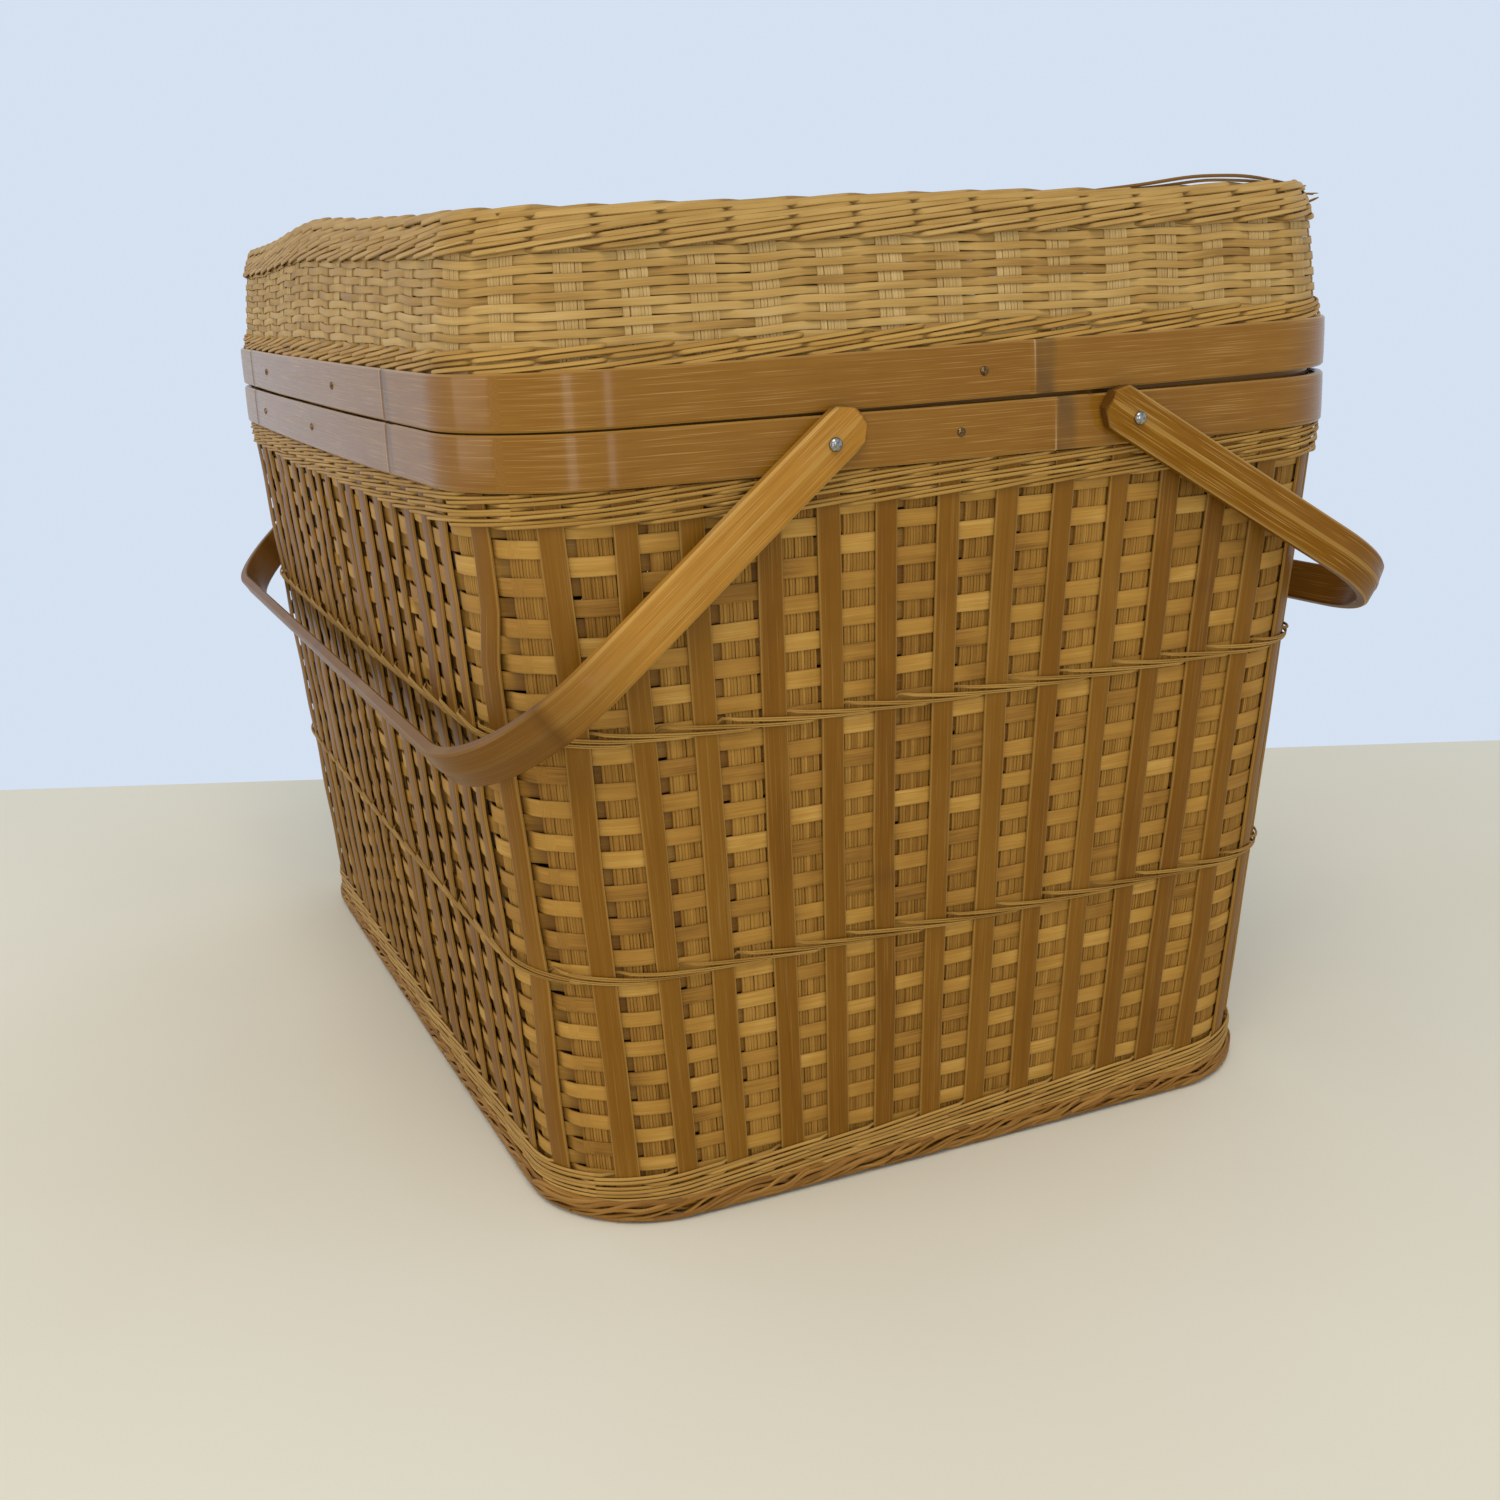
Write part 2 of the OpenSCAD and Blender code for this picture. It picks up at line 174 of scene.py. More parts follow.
class Strips:
    """Gathers swept strips into one mesh, with fibre coordinates stored on its points."""

    def __init__(self):
        self.points, self.faces, self.data, self.total = [], [], [], 0

    def sweep(self, grid, along, across, edge, tone, knot_and_shade=None, closed=False):
        """grid is (samples, profile, 3). The profile closes round the strip.

        A strip that isn't closed gets a cap at each end, for which its profile needs an even number
        of points.
        """
        n, m = grid.shape[:2]
        index = np.arange(n * m).reshape(n, m) + self.total
        rows = n if closed else n - 1
        i, j = np.meshgrid(np.arange(rows), np.arange(m), indexing="ij")
        k, l = (i + 1) % n, (j + 1) % m
        self.faces.append(np.stack([index[i, j], index[i, l], index[k, l], index[k, j]], -1)
                          .reshape(-1, 4))
        if not closed:
            for row, flip in ((0, 1), (n - 1, 0)):
                ring = index[row] if flip == 0 else index[row][::-1]
                for q in range(m // 2 - 1):
                    self.faces.append(np.array([[ring[q], ring[q + 1], ring[m - 2 - q],
                                                 ring[m - 1 - q]]]))
        self.points.append(grid.reshape(-1, 3))
        full = np.zeros((n, m, 6))
        full[..., 0] = np.reshape(along, (-1, 1)) if np.ndim(along) == 1 else along
        full[..., 1] = across
        full[..., 2] = edge
        full[..., 3] = tone if np.ndim(tone) == 0 else np.reshape(tone, (-1, 1))
        if knot_and_shade is not None:
            full[..., 4] = np.reshape(knot_and_shade, (-1, 1)) if np.ndim(knot_and_shade) == 1 else knot_and_shade
        full[..., 5] = len(self.data) * SEED_STEP % 1.0
        self.data.append(full.reshape(-1, 6))
        self.total += n * m

    def build(self, name, material, sharp=35):
        """Makes the mesh in metres. Edges sharper than that many degrees stay sharp."""
        points = np.concatenate(self.points) * MM
        faces = np.concatenate(self.faces)
        mesh = bpy.data.meshes.new(name)
        mesh.vertices.add(len(points))
        mesh.vertices.foreach_set("co", points.astype(np.float32).ravel())
        mesh.loops.add(faces.size)
        mesh.loops.foreach_set("vertex_index", faces.astype(np.int32).ravel())
        mesh.polygons.add(len(faces))
        mesh.polygons.foreach_set("loop_start", np.arange(0, faces.size, 4, dtype=np.int32))
        mesh.update(calc_edges=True)
        mesh.validate()
        data = np.concatenate(self.data)
        for c, key in enumerate(("along", "across", "edge", "tone", "knot_and_shade", "seed")):
            layer = mesh.attributes.new(key, "FLOAT", "POINT")
            layer.data.foreach_set("value", data[:, c].astype(np.float32))
        return as_object(name, mesh, material, sharp)


# Profiles as (across, out) pairs on a unit strip, anticlockwise when seen along the strip
FLAT = np.array([(-1, -0.5), (1, -0.5), (1, 0.3), (0.8, 0.5), (-0.8, 0.5), (-1, 0.3)])
CROWNED = np.array([(-1, -0.5), (1, -0.5), (1, 0.15), (0.86, 0.4), (0.45, 0.5), (-0.45, 0.5),
                    (-0.86, 0.4), (-1, 0.15)])
GROOVED = np.array([(-1, -0.5), (0, -0.5), (1, -0.5), (0.86, 0.5), (0.18, 0.5), (0, 0.15),
                    (-0.18, 0.5), (-0.86, 0.5)])
LENS = np.array([(-0.55, -0.5), (0.55, -0.5), (1, -0.05), (0.6, 0.45), (-0.6, 0.45), (-1, -0.05)])
ROUND = np.array([(math.cos(t), math.sin(t) * 0.5) for t in np.arange(6) / 6 * TAU])


def wall_strip_h(strips, section, u, z, out, half, thick, tone, profile=FLAT, closed=True,
                 lift=None, along0=0.0, knot_and_shade=None):
    """A strip that runs round the wall, along0 being where its grain starts."""
    u, z, out = np.broadcast_arrays(u, np.asarray(z, float), np.asarray(out, float))
    half = np.broadcast_to(np.asarray(half, float), u.shape)
    dz = profile[:, 0][None] * half[:, None]
    do = profile[:, 1][None] * thick
    grid = ring_point(section, u[:, None], z[:, None] + dz, out[:, None] + do)
    grid[..., 2] = z[:, None] + dz
    add_lift(grid, lift)
    along = along0 + u * GRAIN_PITCH
    strips.sweep(grid, along, dz, np.abs(profile[:, 0])[None] + 0 * dz, tone, knot_and_shade=knot_and_shade,
                 closed=closed)


def wall_strip_v(strips, section, u, z, out, half, thick, tone, profile=FLAT, knot_and_shade=None,
                 lift=None):
    """A strip that runs up the wall."""
    u, z, out = np.broadcast_arrays(np.asarray(u, float), z, np.asarray(out, float))
    half = np.broadcast_to(np.asarray(half, float), z.shape)
    pitch = mm_per_u(section, u, z)
    du = -profile[:, 0][None] * (half / pitch)[:, None]
    do = profile[:, 1][None] * (np.reshape(thick, (-1, 1)) if np.ndim(thick) else thick)
    grid = ring_point(section, u[:, None] + du, z[:, None] + 0 * du, out[:, None] + do)
    add_lift(grid, lift)
    across = profile[:, 0][None] * half[:, None]
    strips.sweep(grid, z, across, np.abs(profile[:, 0])[None] + 0 * across, tone, knot_and_shade=knot_and_shade)


# Materials

class Tree:
    """Short-hand for one material's nodes."""

    def __init__(self, name):
        self.material = bpy.data.materials.new(name)
        self.material.use_nodes = True
        self.tree = self.material.node_tree
        self.tree.nodes.clear()
        self.shader = self.node("ShaderNodeBsdfPrincipled")
        out = self.node("ShaderNodeOutputMaterial")
        self.link(self.shader.outputs[0], out.inputs["Surface"])

    def node(self, kind, **settings):
        n = self.tree.nodes.new(kind)
        for key, value in settings.items():
            setattr(n, key, value)
        return n

    def link(self, a, b):
        self.tree.links.new(a, b)

    def put(self, value, socket):
        if isinstance(value, bpy.types.NodeSocket):
            self.link(value, socket)
        else:
            socket.default_value = value

    def attribute(self, name):
        return self.node("ShaderNodeAttribute", attribute_name=name).outputs["Fac"]

    def math(self, operation, a, b=0.0, c=0.0, clamp=False):
        n = self.node("ShaderNodeMath", operation=operation, use_clamp=clamp)
        for value, socket in zip((a, b, c), n.inputs):
            self.put(value, socket)
        return n.outputs[0]

    def vector(self, x, y, z):
        n = self.node("ShaderNodeCombineXYZ")
        for value, socket in zip((x, y, z), n.inputs):
            self.put(value, socket)
        return n.outputs[0]

    def noise(self, vector, detail=2.0, rough=0.5, scale=1.0):
        n = self.node("ShaderNodeTexNoise", noise_dimensions="3D")
        self.put(vector, n.inputs["Vector"])
        n.inputs["Scale"].default_value = scale
        n.inputs["Detail"].default_value = detail
        n.inputs["Roughness"].default_value = rough
        return n.outputs["Fac"]

    def ramp(self, value, stops):
        n = self.node("ShaderNodeValToRGB")
        self.put(value, n.inputs[0])
        while len(n.color_ramp.elements) < len(stops):
            n.color_ramp.elements.new(0.5)
        for e, (at, colour) in zip(n.color_ramp.elements, stops):
            e.position = at
            e.color = (*colour, 1)
        return n.outputs[0]

    def mix(self, factor, a, b, blend="MIX"):
        n = self.node("ShaderNodeMix", data_type="RGBA", blend_type=blend)
        self.put(factor, n.inputs["Factor"])
        for value, socket in ((a, n.inputs[6]), (b, n.inputs[7])):
            if isinstance(value, tuple):
                value = (*value, 1)
            self.put(value, socket)
        return n.outputs[2]

    def bump(self, height, strength, distance):
        n = self.node("ShaderNodeBump")
        n.inputs["Strength"].default_value = strength
        n.inputs["Distance"].default_value = distance
        self.put(height, n.inputs["Height"])
        self.link(n.outputs[0], self.shader.inputs["Normal"])

    def span(self, value, low, high, to_low=0.0, to_high=1.0):
        n = self.node("ShaderNodeMapRange", clamp=True)
        for v, socket in zip((value, low, high, to_low, to_high), n.inputs):
            self.put(v, socket)
        return n.outputs[0]


PALE_NODE = (0.72, 0.58, 0.36)
PALE_STREAK = (0.52, 0.32, 0.10)


def bamboo(name, stops, fibre, length, contrast, rough, bump, edge, edge_at, edge_mix, coat=0.0,
           knot_and_shade=(0.085, 0.032, 0.006), patch=0.35, spec=0.13, tone_share=0.55, streak=0.0):
    """Split or varnished bamboo. fibre and length are the grain's size in millimetres.

    Beyond edge_at of its half width a strip's colour goes towards edge, by edge_mix at most.
    A dark edge colour is painted shade along a strip's edges, where it meets its neighbours.
    Where a mesh's dark value is above 0 the colour goes towards the dark colour, used for knots and stains
    and for painted shade, and where it is below 0 towards that of a pale node line.
    """
    t = Tree(name)
    along, across = t.attribute("along"), t.attribute("across")
    tone, at_edge, at_mark_and_shade = t.attribute("tone"), t.attribute("edge"), t.attribute("knot_and_shade")
    seed = t.math("MULTIPLY", t.attribute("seed"), 91.0)
    fine = t.noise(t.vector(t.math("DIVIDE", along, length), t.math("DIVIDE", across, fibre), seed),
                   detail=3.0, rough=0.6)
    wide = t.noise(t.vector(t.math("DIVIDE", along, length * 2.2),
                            t.math("DIVIDE", across, fibre * 5), seed), detail=2.0)
    spots = t.noise(t.vector(t.math("DIVIDE", along, 17.0), t.math("DIVIDE", across, 11.0), seed),
                    detail=2.0)
    value = t.math("MULTIPLY_ADD", tone, tone_share, 0.5 - tone_share / 2)
    value = t.math("MULTIPLY_ADD", t.math("SUBTRACT", fine, 0.5), contrast * 1.5, value)
    value = t.math("MULTIPLY_ADD", t.math("SUBTRACT", wide, 0.5), contrast, value)
    value = t.math("MULTIPLY_ADD", t.math("SUBTRACT", spots, 0.5), patch, value, clamp=True)
    colour = t.ramp(value, stops)
    if streak:
        line = t.noise(t.vector(t.math("DIVIDE", along, 38.0), t.math("DIVIDE", across, 0.42),
                                t.math("ADD", seed, 7.0)), detail=1.0)
        colour = t.mix(t.span(line, 0.59, 0.68, 0.0, streak), colour, PALE_STREAK)
        colour = t.mix(t.span(line, 0.38, 0.30, 0.0, streak), colour, stops[0][1])
    colour = t.mix(t.span(at_edge, edge_at, 1.0, 0.0, edge_mix), colour, edge)
    # Towards the dark colour: knots and stains, and painted shade on the pieces that carry it.
    colour = t.mix(t.math("MULTIPLY", at_mark_and_shade, 0.85, clamp=True), colour, knot_and_shade)
    colour = t.mix(t.math("MULTIPLY", at_mark_and_shade, -0.8, clamp=True), colour, PALE_NODE)
    t.put(colour, t.shader.inputs["Base Color"])
    t.put(t.span(fine, 0.3, 0.7, rough[0], rough[1]), t.shader.inputs["Roughness"])
    t.shader.inputs["Specular IOR Level"].default_value = spec
    t.shader.inputs["Coat Weight"].default_value = coat
    t.shader.inputs["Coat Roughness"].default_value = 0.12
    t.shader.inputs["Coat IOR"].default_value = 1.38
    t.bump(t.math("ADD", fine, t.math("MULTIPLY", wide, 0.5)), bump, 0.0004)
    return t.material


def metal(name, colour, rough, tarnish):
    """Small fasteners, a little uneven."""
    t = Tree(name)
    where = t.node("ShaderNodeTexCoord").outputs["Object"]
    n = t.noise(where, detail=3.0, scale=900.0)
    t.put(t.mix(t.span(n, 0.4, 0.65), colour, tarnish), t.shader.inputs["Base Color"])
    t.put(t.span(n, 0.3, 0.7, rough, rough + 0.2), t.shader.inputs["Roughness"])
    t.shader.inputs["Metallic"].default_value = 1.0
    return t.material


# The dark edge colours of the weavers, stakes, twine, lid stakes, lid wefts and foot below are painted
# shade along the strips' edges.
WEAVER = bamboo("bamboo_weaver", [
    (0.0, (0.143, 0.060, 0.008)), (0.35, (0.298, 0.142, 0.023)),
    (0.7, (0.398, 0.206, 0.037)), (1.0, (0.520, 0.305, 0.074))],
    fibre=0.6, length=26.0, contrast=0.45, rough=(0.45, 0.68), bump=0.35,
    edge=(0.172, 0.076, 0.015), edge_at=0.84, edge_mix=0.35)
STAKE = bamboo("bamboo_stake", [
    (0.0, (0.123, 0.050, 0.006)), (0.32, (0.247, 0.115, 0.017)),
    (0.65, (0.350, 0.178, 0.032)), (1.0, (0.437, 0.243, 0.050))],
    fibre=0.42, length=70.0, contrast=0.75, rough=(0.5, 0.72), bump=0.8,
    edge=(0.130, 0.056, 0.008), edge_at=0.9, edge_mix=0.3)
SLAT = bamboo("bamboo_slat", [
    (0.0, (0.110, 0.037, 0.002)), (0.45, (0.176, 0.069, 0.003)),
    (0.8, (0.218, 0.094, 0.008)), (1.0, (0.274, 0.131, 0.015))],
    fibre=0.45, length=90.0, contrast=0.34, rough=(0.34, 0.50), coat=0.05, bump=0.18,
    streak=0.12, edge=(0.429, 0.245, 0.056), edge_at=0.84, edge_mix=0.55, patch=0.25)
TWINE = bamboo("bamboo_twine", [
    (0.0, (0.186, 0.085, 0.014)), (0.4, (0.341, 0.180, 0.037)),
    (0.8, (0.449, 0.258, 0.063)), (1.0, (0.526, 0.333, 0.099))],
    fibre=0.5, length=30.0, contrast=0.5, rough=(0.42, 0.62), bump=0.35,
    edge=(0.194, 0.096, 0.023), edge_at=0.7, edge_mix=0.4)
LID_STAKE = bamboo("bamboo_lid_stake", [
    (0.0, (0.263, 0.144, 0.040)), (0.4, (0.409, 0.255, 0.086)),
    (0.8, (0.512, 0.344, 0.133)), (1.0, (0.571, 0.413, 0.182))],
    fibre=0.4, length=60.0, contrast=0.6, rough=(0.5, 0.72), bump=0.6,
    edge=(0.184, 0.084, 0.020), edge_at=0.84, edge_mix=0.5)
LID_WEFT = bamboo("bamboo_lid_weft", [
    (0.0, (0.196, 0.095, 0.020)), (0.35, (0.346, 0.194, 0.049)),
    (0.7, (0.447, 0.272, 0.081)), (1.0, (0.520, 0.346, 0.128))],
    fibre=0.6, length=22.0, contrast=0.45, rough=(0.40, 0.62), bump=0.3,
    edge=(0.120, 0.052, 0.009), edge_at=0.82, edge_mix=0.65)
BAND = bamboo("bamboo_band", [
    (0.0, (0.140, 0.051, 0.003)), (0.4, (0.214, 0.088, 0.007)),
    (0.75, (0.260, 0.118, 0.013)), (1.0, (0.325, 0.167, 0.026))],
    fibre=0.5, length=170.0, contrast=0.36, rough=(0.24, 0.38), coat=0.42, bump=0.10,
    spec=0.06, streak=0.32, edge=(0.410, 0.228, 0.055), edge_at=0.9, edge_mix=0.45,
    patch=0.3, tone_share=0.2, knot_and_shade=(0.090, 0.050, 0.016))


def handle_bamboo(name, stops):
    """The finish of the handles, which differ only in how dark they are; the right one's darker colours are
    painted shade.
    """
    return bamboo(name, stops, fibre=0.5, length=110.0, contrast=0.42, rough=(0.28, 0.44), coat=0.1,
                  bump=0.15, spec=0.06, streak=0.5, edge=(0.480, 0.280, 0.071), edge_at=0.86,
                  edge_mix=0.7, patch=0.3, tone_share=0.2)


LEFT_HANDLE = handle_bamboo("bamboo_left_handle", [
    (0.0, (0.236, 0.089, 0.007)), (0.4, (0.349, 0.154, 0.020)),
    (0.75, (0.435, 0.213, 0.034)), (1.0, (0.566, 0.316, 0.080))])
# The right handle's darker colours paint the shade it hangs in.
RIGHT_HANDLE_SHADED = handle_bamboo("bamboo_right_handle_shaded", [
    (0.0, (0.128, 0.043, 0.001)), (0.4, (0.190, 0.073, 0.003)),
    (0.75, (0.237, 0.102, 0.005)), (1.0, (0.308, 0.151, 0.013))])
# The foot's strands are darker than the other twined strands, partly their own browner colour and partly
# painted shade on the low border.
FOOT = bamboo("bamboo_foot", [
    (0.0, (0.125, 0.049, 0.007)), (0.4, (0.244, 0.109, 0.020)),
    (0.8, (0.339, 0.170, 0.036)), (1.0, (0.428, 0.237, 0.065))],
    fibre=0.5, length=35.0, contrast=0.5, rough=(0.42, 0.62), bump=0.35,
    edge=(0.144, 0.064, 0.012), edge_at=0.7, edge_mix=0.4)
BRASS = metal("aged_brass", (0.20, 0.12, 0.05), 0.10, (0.05, 0.03, 0.015))
STEEL = metal("bright_steel", (0.36, 0.35, 0.32), 0.10, (0.16, 0.15, 0.13))


def done(ob, body, slot, *nodes):
    """Files a piece under what it rides on and hides the CAD nodes it stands for. slot, its finish, is not
    used.
    """
    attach(ob, body)
    if nodes:
        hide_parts(*nodes)
    return ob


# Woven walls

ROWS = 46
ROW_LOW, ROW_HIGH = 3.2, RIM_Z - 1.0
STAKE_SHIFT = 0.045

# Pitch and half width of the split stakes in one bundle
STAKE_LANE, STAKE_HALF = 2.46, 1.28
LID_STAKE_LANE, LID_STAKE_HALF = 2.45, 1.26


def over_under(u, phase, sharp=2.0):
    """+1 over and -1 under alternate stakes that stand at whole numbers."""
    return np.tanh(sharp * np.cos(math.pi * (u + phase))) / math.tanh(sharp)


def row_heights():
    """Middle heights of the weavers. They sit closer together towards the foot."""
    gaps = np.linspace(0.93, 1.07, ROWS - 1)
    z = np.concatenate([[0], np.cumsum(gaps)])
    low, high = ROW_LOW + 2.9, ROW_HIGH - 2.9
    return low + (high - low) * z / z[-1]


def woven_wall():
    """Flat weavers over and under bundles of five split stakes."""
    rng = np.random.default_rng(11)
    heights = row_heights()
    low_rows, high_rows = Strips(), Strips()
    per = 6
    u = np.arange(SLATS * per) / per
    gap = np.gradient(heights)
    for j, z in enumerate(heights):
        weave = over_under(u - STAKE_SHIFT, j)
        bulge = 0.6 * np.clip(weave, 0, 1) * np.clip((u - SLATS + SLATS_LONG + 0.5) / 2, 0, 1)
        out = -WEAVE_T / 2 + 0.80 * weave + bulge + wobble(rng, len(u), 0.12, 9)
        rise = wobble(rng, len(u), 0.55, 30)
        tone = np.clip(rng.uniform(0.05, 0.95) + wobble(rng, len(u), 0.6, 8), 0, 1)
        half = (gap[j] / 2 - 0.08) * (1 + wobble(rng, len(u), 0.08, 10))
        rows = low_rows if j < ROWS // 2 else high_rows
        # The dark mix where a weaver dives under the stakes is painted shade.
        wall_strip_h(rows, body_section, u, z + rise, out, half, 0.6, tone, along0=j * 77.0,
                     knot_and_shade=np.clip(-weave, 0, 1) * 0.95)
    for rows, name in ((low_rows, "woven_wall_low_rows"), (high_rows, "woven_wall_high_rows")):
        done(rows.build(name, WEAVER), "basket", "weave", "wall_weave")
    sides = [Strips() for _ in FACE_COUNTS]
    zs = np.linspace(ROW_LOW, ROW_HIGH, ROWS * 2 + 1)
    row_at = np.interp(zs, heights, np.arange(ROWS))
    for i in range(SLATS):
        stakes = sides[np.searchsorted(FACE_STARTS, i, side="right") - 1]
        shift = STAKE_SHIFT + rng.normal(0, 0.015)
        bundle = rng.uniform(0.25, 0.7)
        pitch = mm_per_u(body_section, np.full(len(zs), float(i)), zs)
        over = np.cos(math.pi * (row_at + i + 1))
        for k in range(5):
            lane = (k - 2) * STAKE_LANE + rng.normal(0, 0.10) + wobble(rng, len(zs), 0.12, 10)
            out = -WEAVE_T / 2 + 0.22 * over + rng.normal(0, 0.05)
            wall_strip_v(stakes, body_section, i + shift + lane / pitch, zs, out,
                         STAKE_HALF + rng.normal(0, 0.05), 0.8, bundle + rng.uniform(-0.16, 0.16),
                         profile=GROOVED)
    for stakes, side in zip(sides, FACE_NAMES):
        ob = stakes.build("woven_wall_stakes_" + side, STAKE, sharp=25)
        done(ob, "basket", "weave", "wall_weave")


def slats():
    """Upright outer slats. Those on the left are looser than the others."""
    rng = np.random.default_rng(23)
    zs = np.concatenate([[1.0, 2.0], np.linspace(6, 276, 46), [279.5, 280.5]])
    for side, start, count in zip(FACE_NAMES, FACE_STARTS, FACE_COUNTS):
        strips = Strips()
        loose = 3.0 if side == "left" else 1.0
        for i in range(count):
            u0 = start + i + 0.5 + rng.normal(0, 0.028) * loose
            bends = int(5 * loose)
            drift = np.interp(zs, np.linspace(0, 281, bends), rng.normal(0, 0.018, bends) * loose)
            half = SLAT_W / 2 * (1 + rng.normal(0, 0.05 * loose)) + wobble(rng, len(zs), 0.12 * loose, 12)
            knot_and_shade = np.zeros(len(zs))
            if rng.random() < 0.35:
                knot_and_shade += rng.uniform(0.15, 0.45) * np.exp(-((zs - rng.uniform(20, 270)) / 2.0) ** 2)
            thick = SLAT_T * (1 + 0.25 * knot_and_shade)
            proud = 0.22 * (loose - 1) * np.sin(math.pi * zs / zs[-1])
            out = SLAT_LIFT + SLAT_T / 2 + proud + wobble(rng, len(zs), 0.12 * loose, 6)
            tone = np.clip(rng.uniform(0.1, 0.9) + wobble(rng, len(zs), 0.12 * loose, 8), 0, 1)
            wall_strip_v(strips, body_section, u0 + drift, zs, out, half, thick, tone,
                         profile=CROWNED, knot_and_shade=knot_and_shade)
        ob = strips.build("slats_" + side + "_strips", SLAT, sharp=50)
        done(ob, "basket", "slat", "slats_" + side)


# How far up its wave a settled strand comes to lie, where 1 is the whole way
SETTLED = 0.45


STRANDS = 3


def wale(strips, section, z, rng, amp, half, thick, plies, u_shift, wander, pitch_u=1.0, front=2.1,
         back=0.0, lift=None, profile=ROUND, hide=0.14, settles=False):
    """One row of twining. Each strand passes in front of all but one of every three uprights.

    amp is half of what it climbs on the way. front and back are how far out it lies before and
    behind the uprights.
    hide is the share of a strand's wave that it spends behind that upright. A strand that settles
    starts apart from the others and closes up to them.
    """
    per = 10
    n = int(round(SLATS / pitch_u)) * per
    u = np.arange(n + 1) / per * pitch_u
    rise = wobble(rng, n, wander, 60)
    rise = np.concatenate([rise, rise[:1]])
    for k in range(STRANDS):
        own = wobble(rng, n + 1, 0.4 * wander + 0.12, 20)
        phase = ((u - u_shift) / pitch_u / STRANDS + k / STRANDS + 0.5) % 1.0 - 0.5
        edge = 0.5 - hide / 2
        behind = np.clip((np.abs(phase) - edge + 0.06) / 0.06, 0, 1)
        behind = behind * behind * (3 - 2 * behind)
        back_way = np.sign(phase) * (0.5 - np.abs(phase)) / (0.5 - edge)
        ahead = phase / edge
        if settles:
            progress = (1 + ahead) / 2
            ahead = SETTLED * progress - (1 - progress) ** 2
            back_way = np.where(back_way > 0, SETTLED * back_way, back_way)
        up = np.where(np.abs(phase) < edge, ahead, back_way)
        out = front - (front - back) * behind
        tone = np.clip(rng.uniform(0.3, 0.9) + wobble(rng, n + 1, 0.35, 18), 0, 1)
        for p in range(plies):
            side = p - (plies - 1) / 2
            twist = side * half * 2.0 / plies * np.cos(phase * TAU * 0.4 + own)
            # The dark mix where a strand passes behind an upright is painted shade.
            wall_strip_h(strips, section, u, z + rise + own + amp * up + twist,
                         out + (side * 0.3 - 0.3) * np.sin(phase * TAU), half / plies * 1.05, thick,
                         tone * (0.88 + 0.12 * p), profile=profile, closed=False, lift=lift,
                         along0=k * 131.0 + p * 57.0, knot_and_shade=behind * 0.45)


def twinings():
    """Twined strands round the body.

    Three rows lie at the rim and three at the foot, with two rows of two plies between them.
    """
    rng = np.random.default_rng(31)
    rim = ((278.5, 1.8), (274.6, 1.8), (270.8, 1.7))
    foot_rows = ((18.0, 2.1), (14.2, 2.1), (10.4, 1.9))
    for name, rows, half, plies in (("twining_rim", rim, 0.62, 1),
                                    ("twining_upper", ((194.0, -3.4),), 0.76, 2),
                                    ("twining_lower", ((102.5, -3.4),), 0.76, 2),
                                    ("twining_base", foot_rows, 0.72, 1)):
        strips = Strips()
        for z, amp in rows:
            wale(strips, body_section, z, rng, amp=amp, half=half, thick=1.15 / plies ** 0.5,
                 plies=plies, wander=0.55, u_shift=float(rng.integers(3)), settles=plies == 2)
        ob = strips.build(name + "_strands", TWINE, sharp=60)
        done(ob, "basket", "twine", name)


def foot():
    """Plaited border: strands that wind round each other along the foot."""
    rng = np.random.default_rng(37)
    strips = Strips()
    n = SLATS * 10
    u = np.arange(n) / 10
    count = 12
    for k in range(count):
        phase = TAU * (u / 4.25 + k / count) + wobble(rng, n, 0.7, 8)
        jitter = wobble(rng, n, 0.7, 6)
        z = 5.2 + 3.5 * np.sin(phase) + jitter
        out = 2.9 + 1.15 * np.cos(phase) + jitter * 0.7
        half = 0.95 * (1 + 0.25 * np.sin(TAU * u / 3.4 + k))
        wall_strip_h(strips, body_section, u, np.maximum(z, 1.35), out, half, 1.5,
                     np.clip(rng.uniform(0.1, 0.75) + wobble(rng, n, 0.4, 12), 0, 1),
                     profile=ROUND, along0=k * 131.0)
    ob = strips.build("foot_border_strands", FOOT, sharp=60)
    done(ob, "basket", "twine", "foot_border")


# Bamboo bands

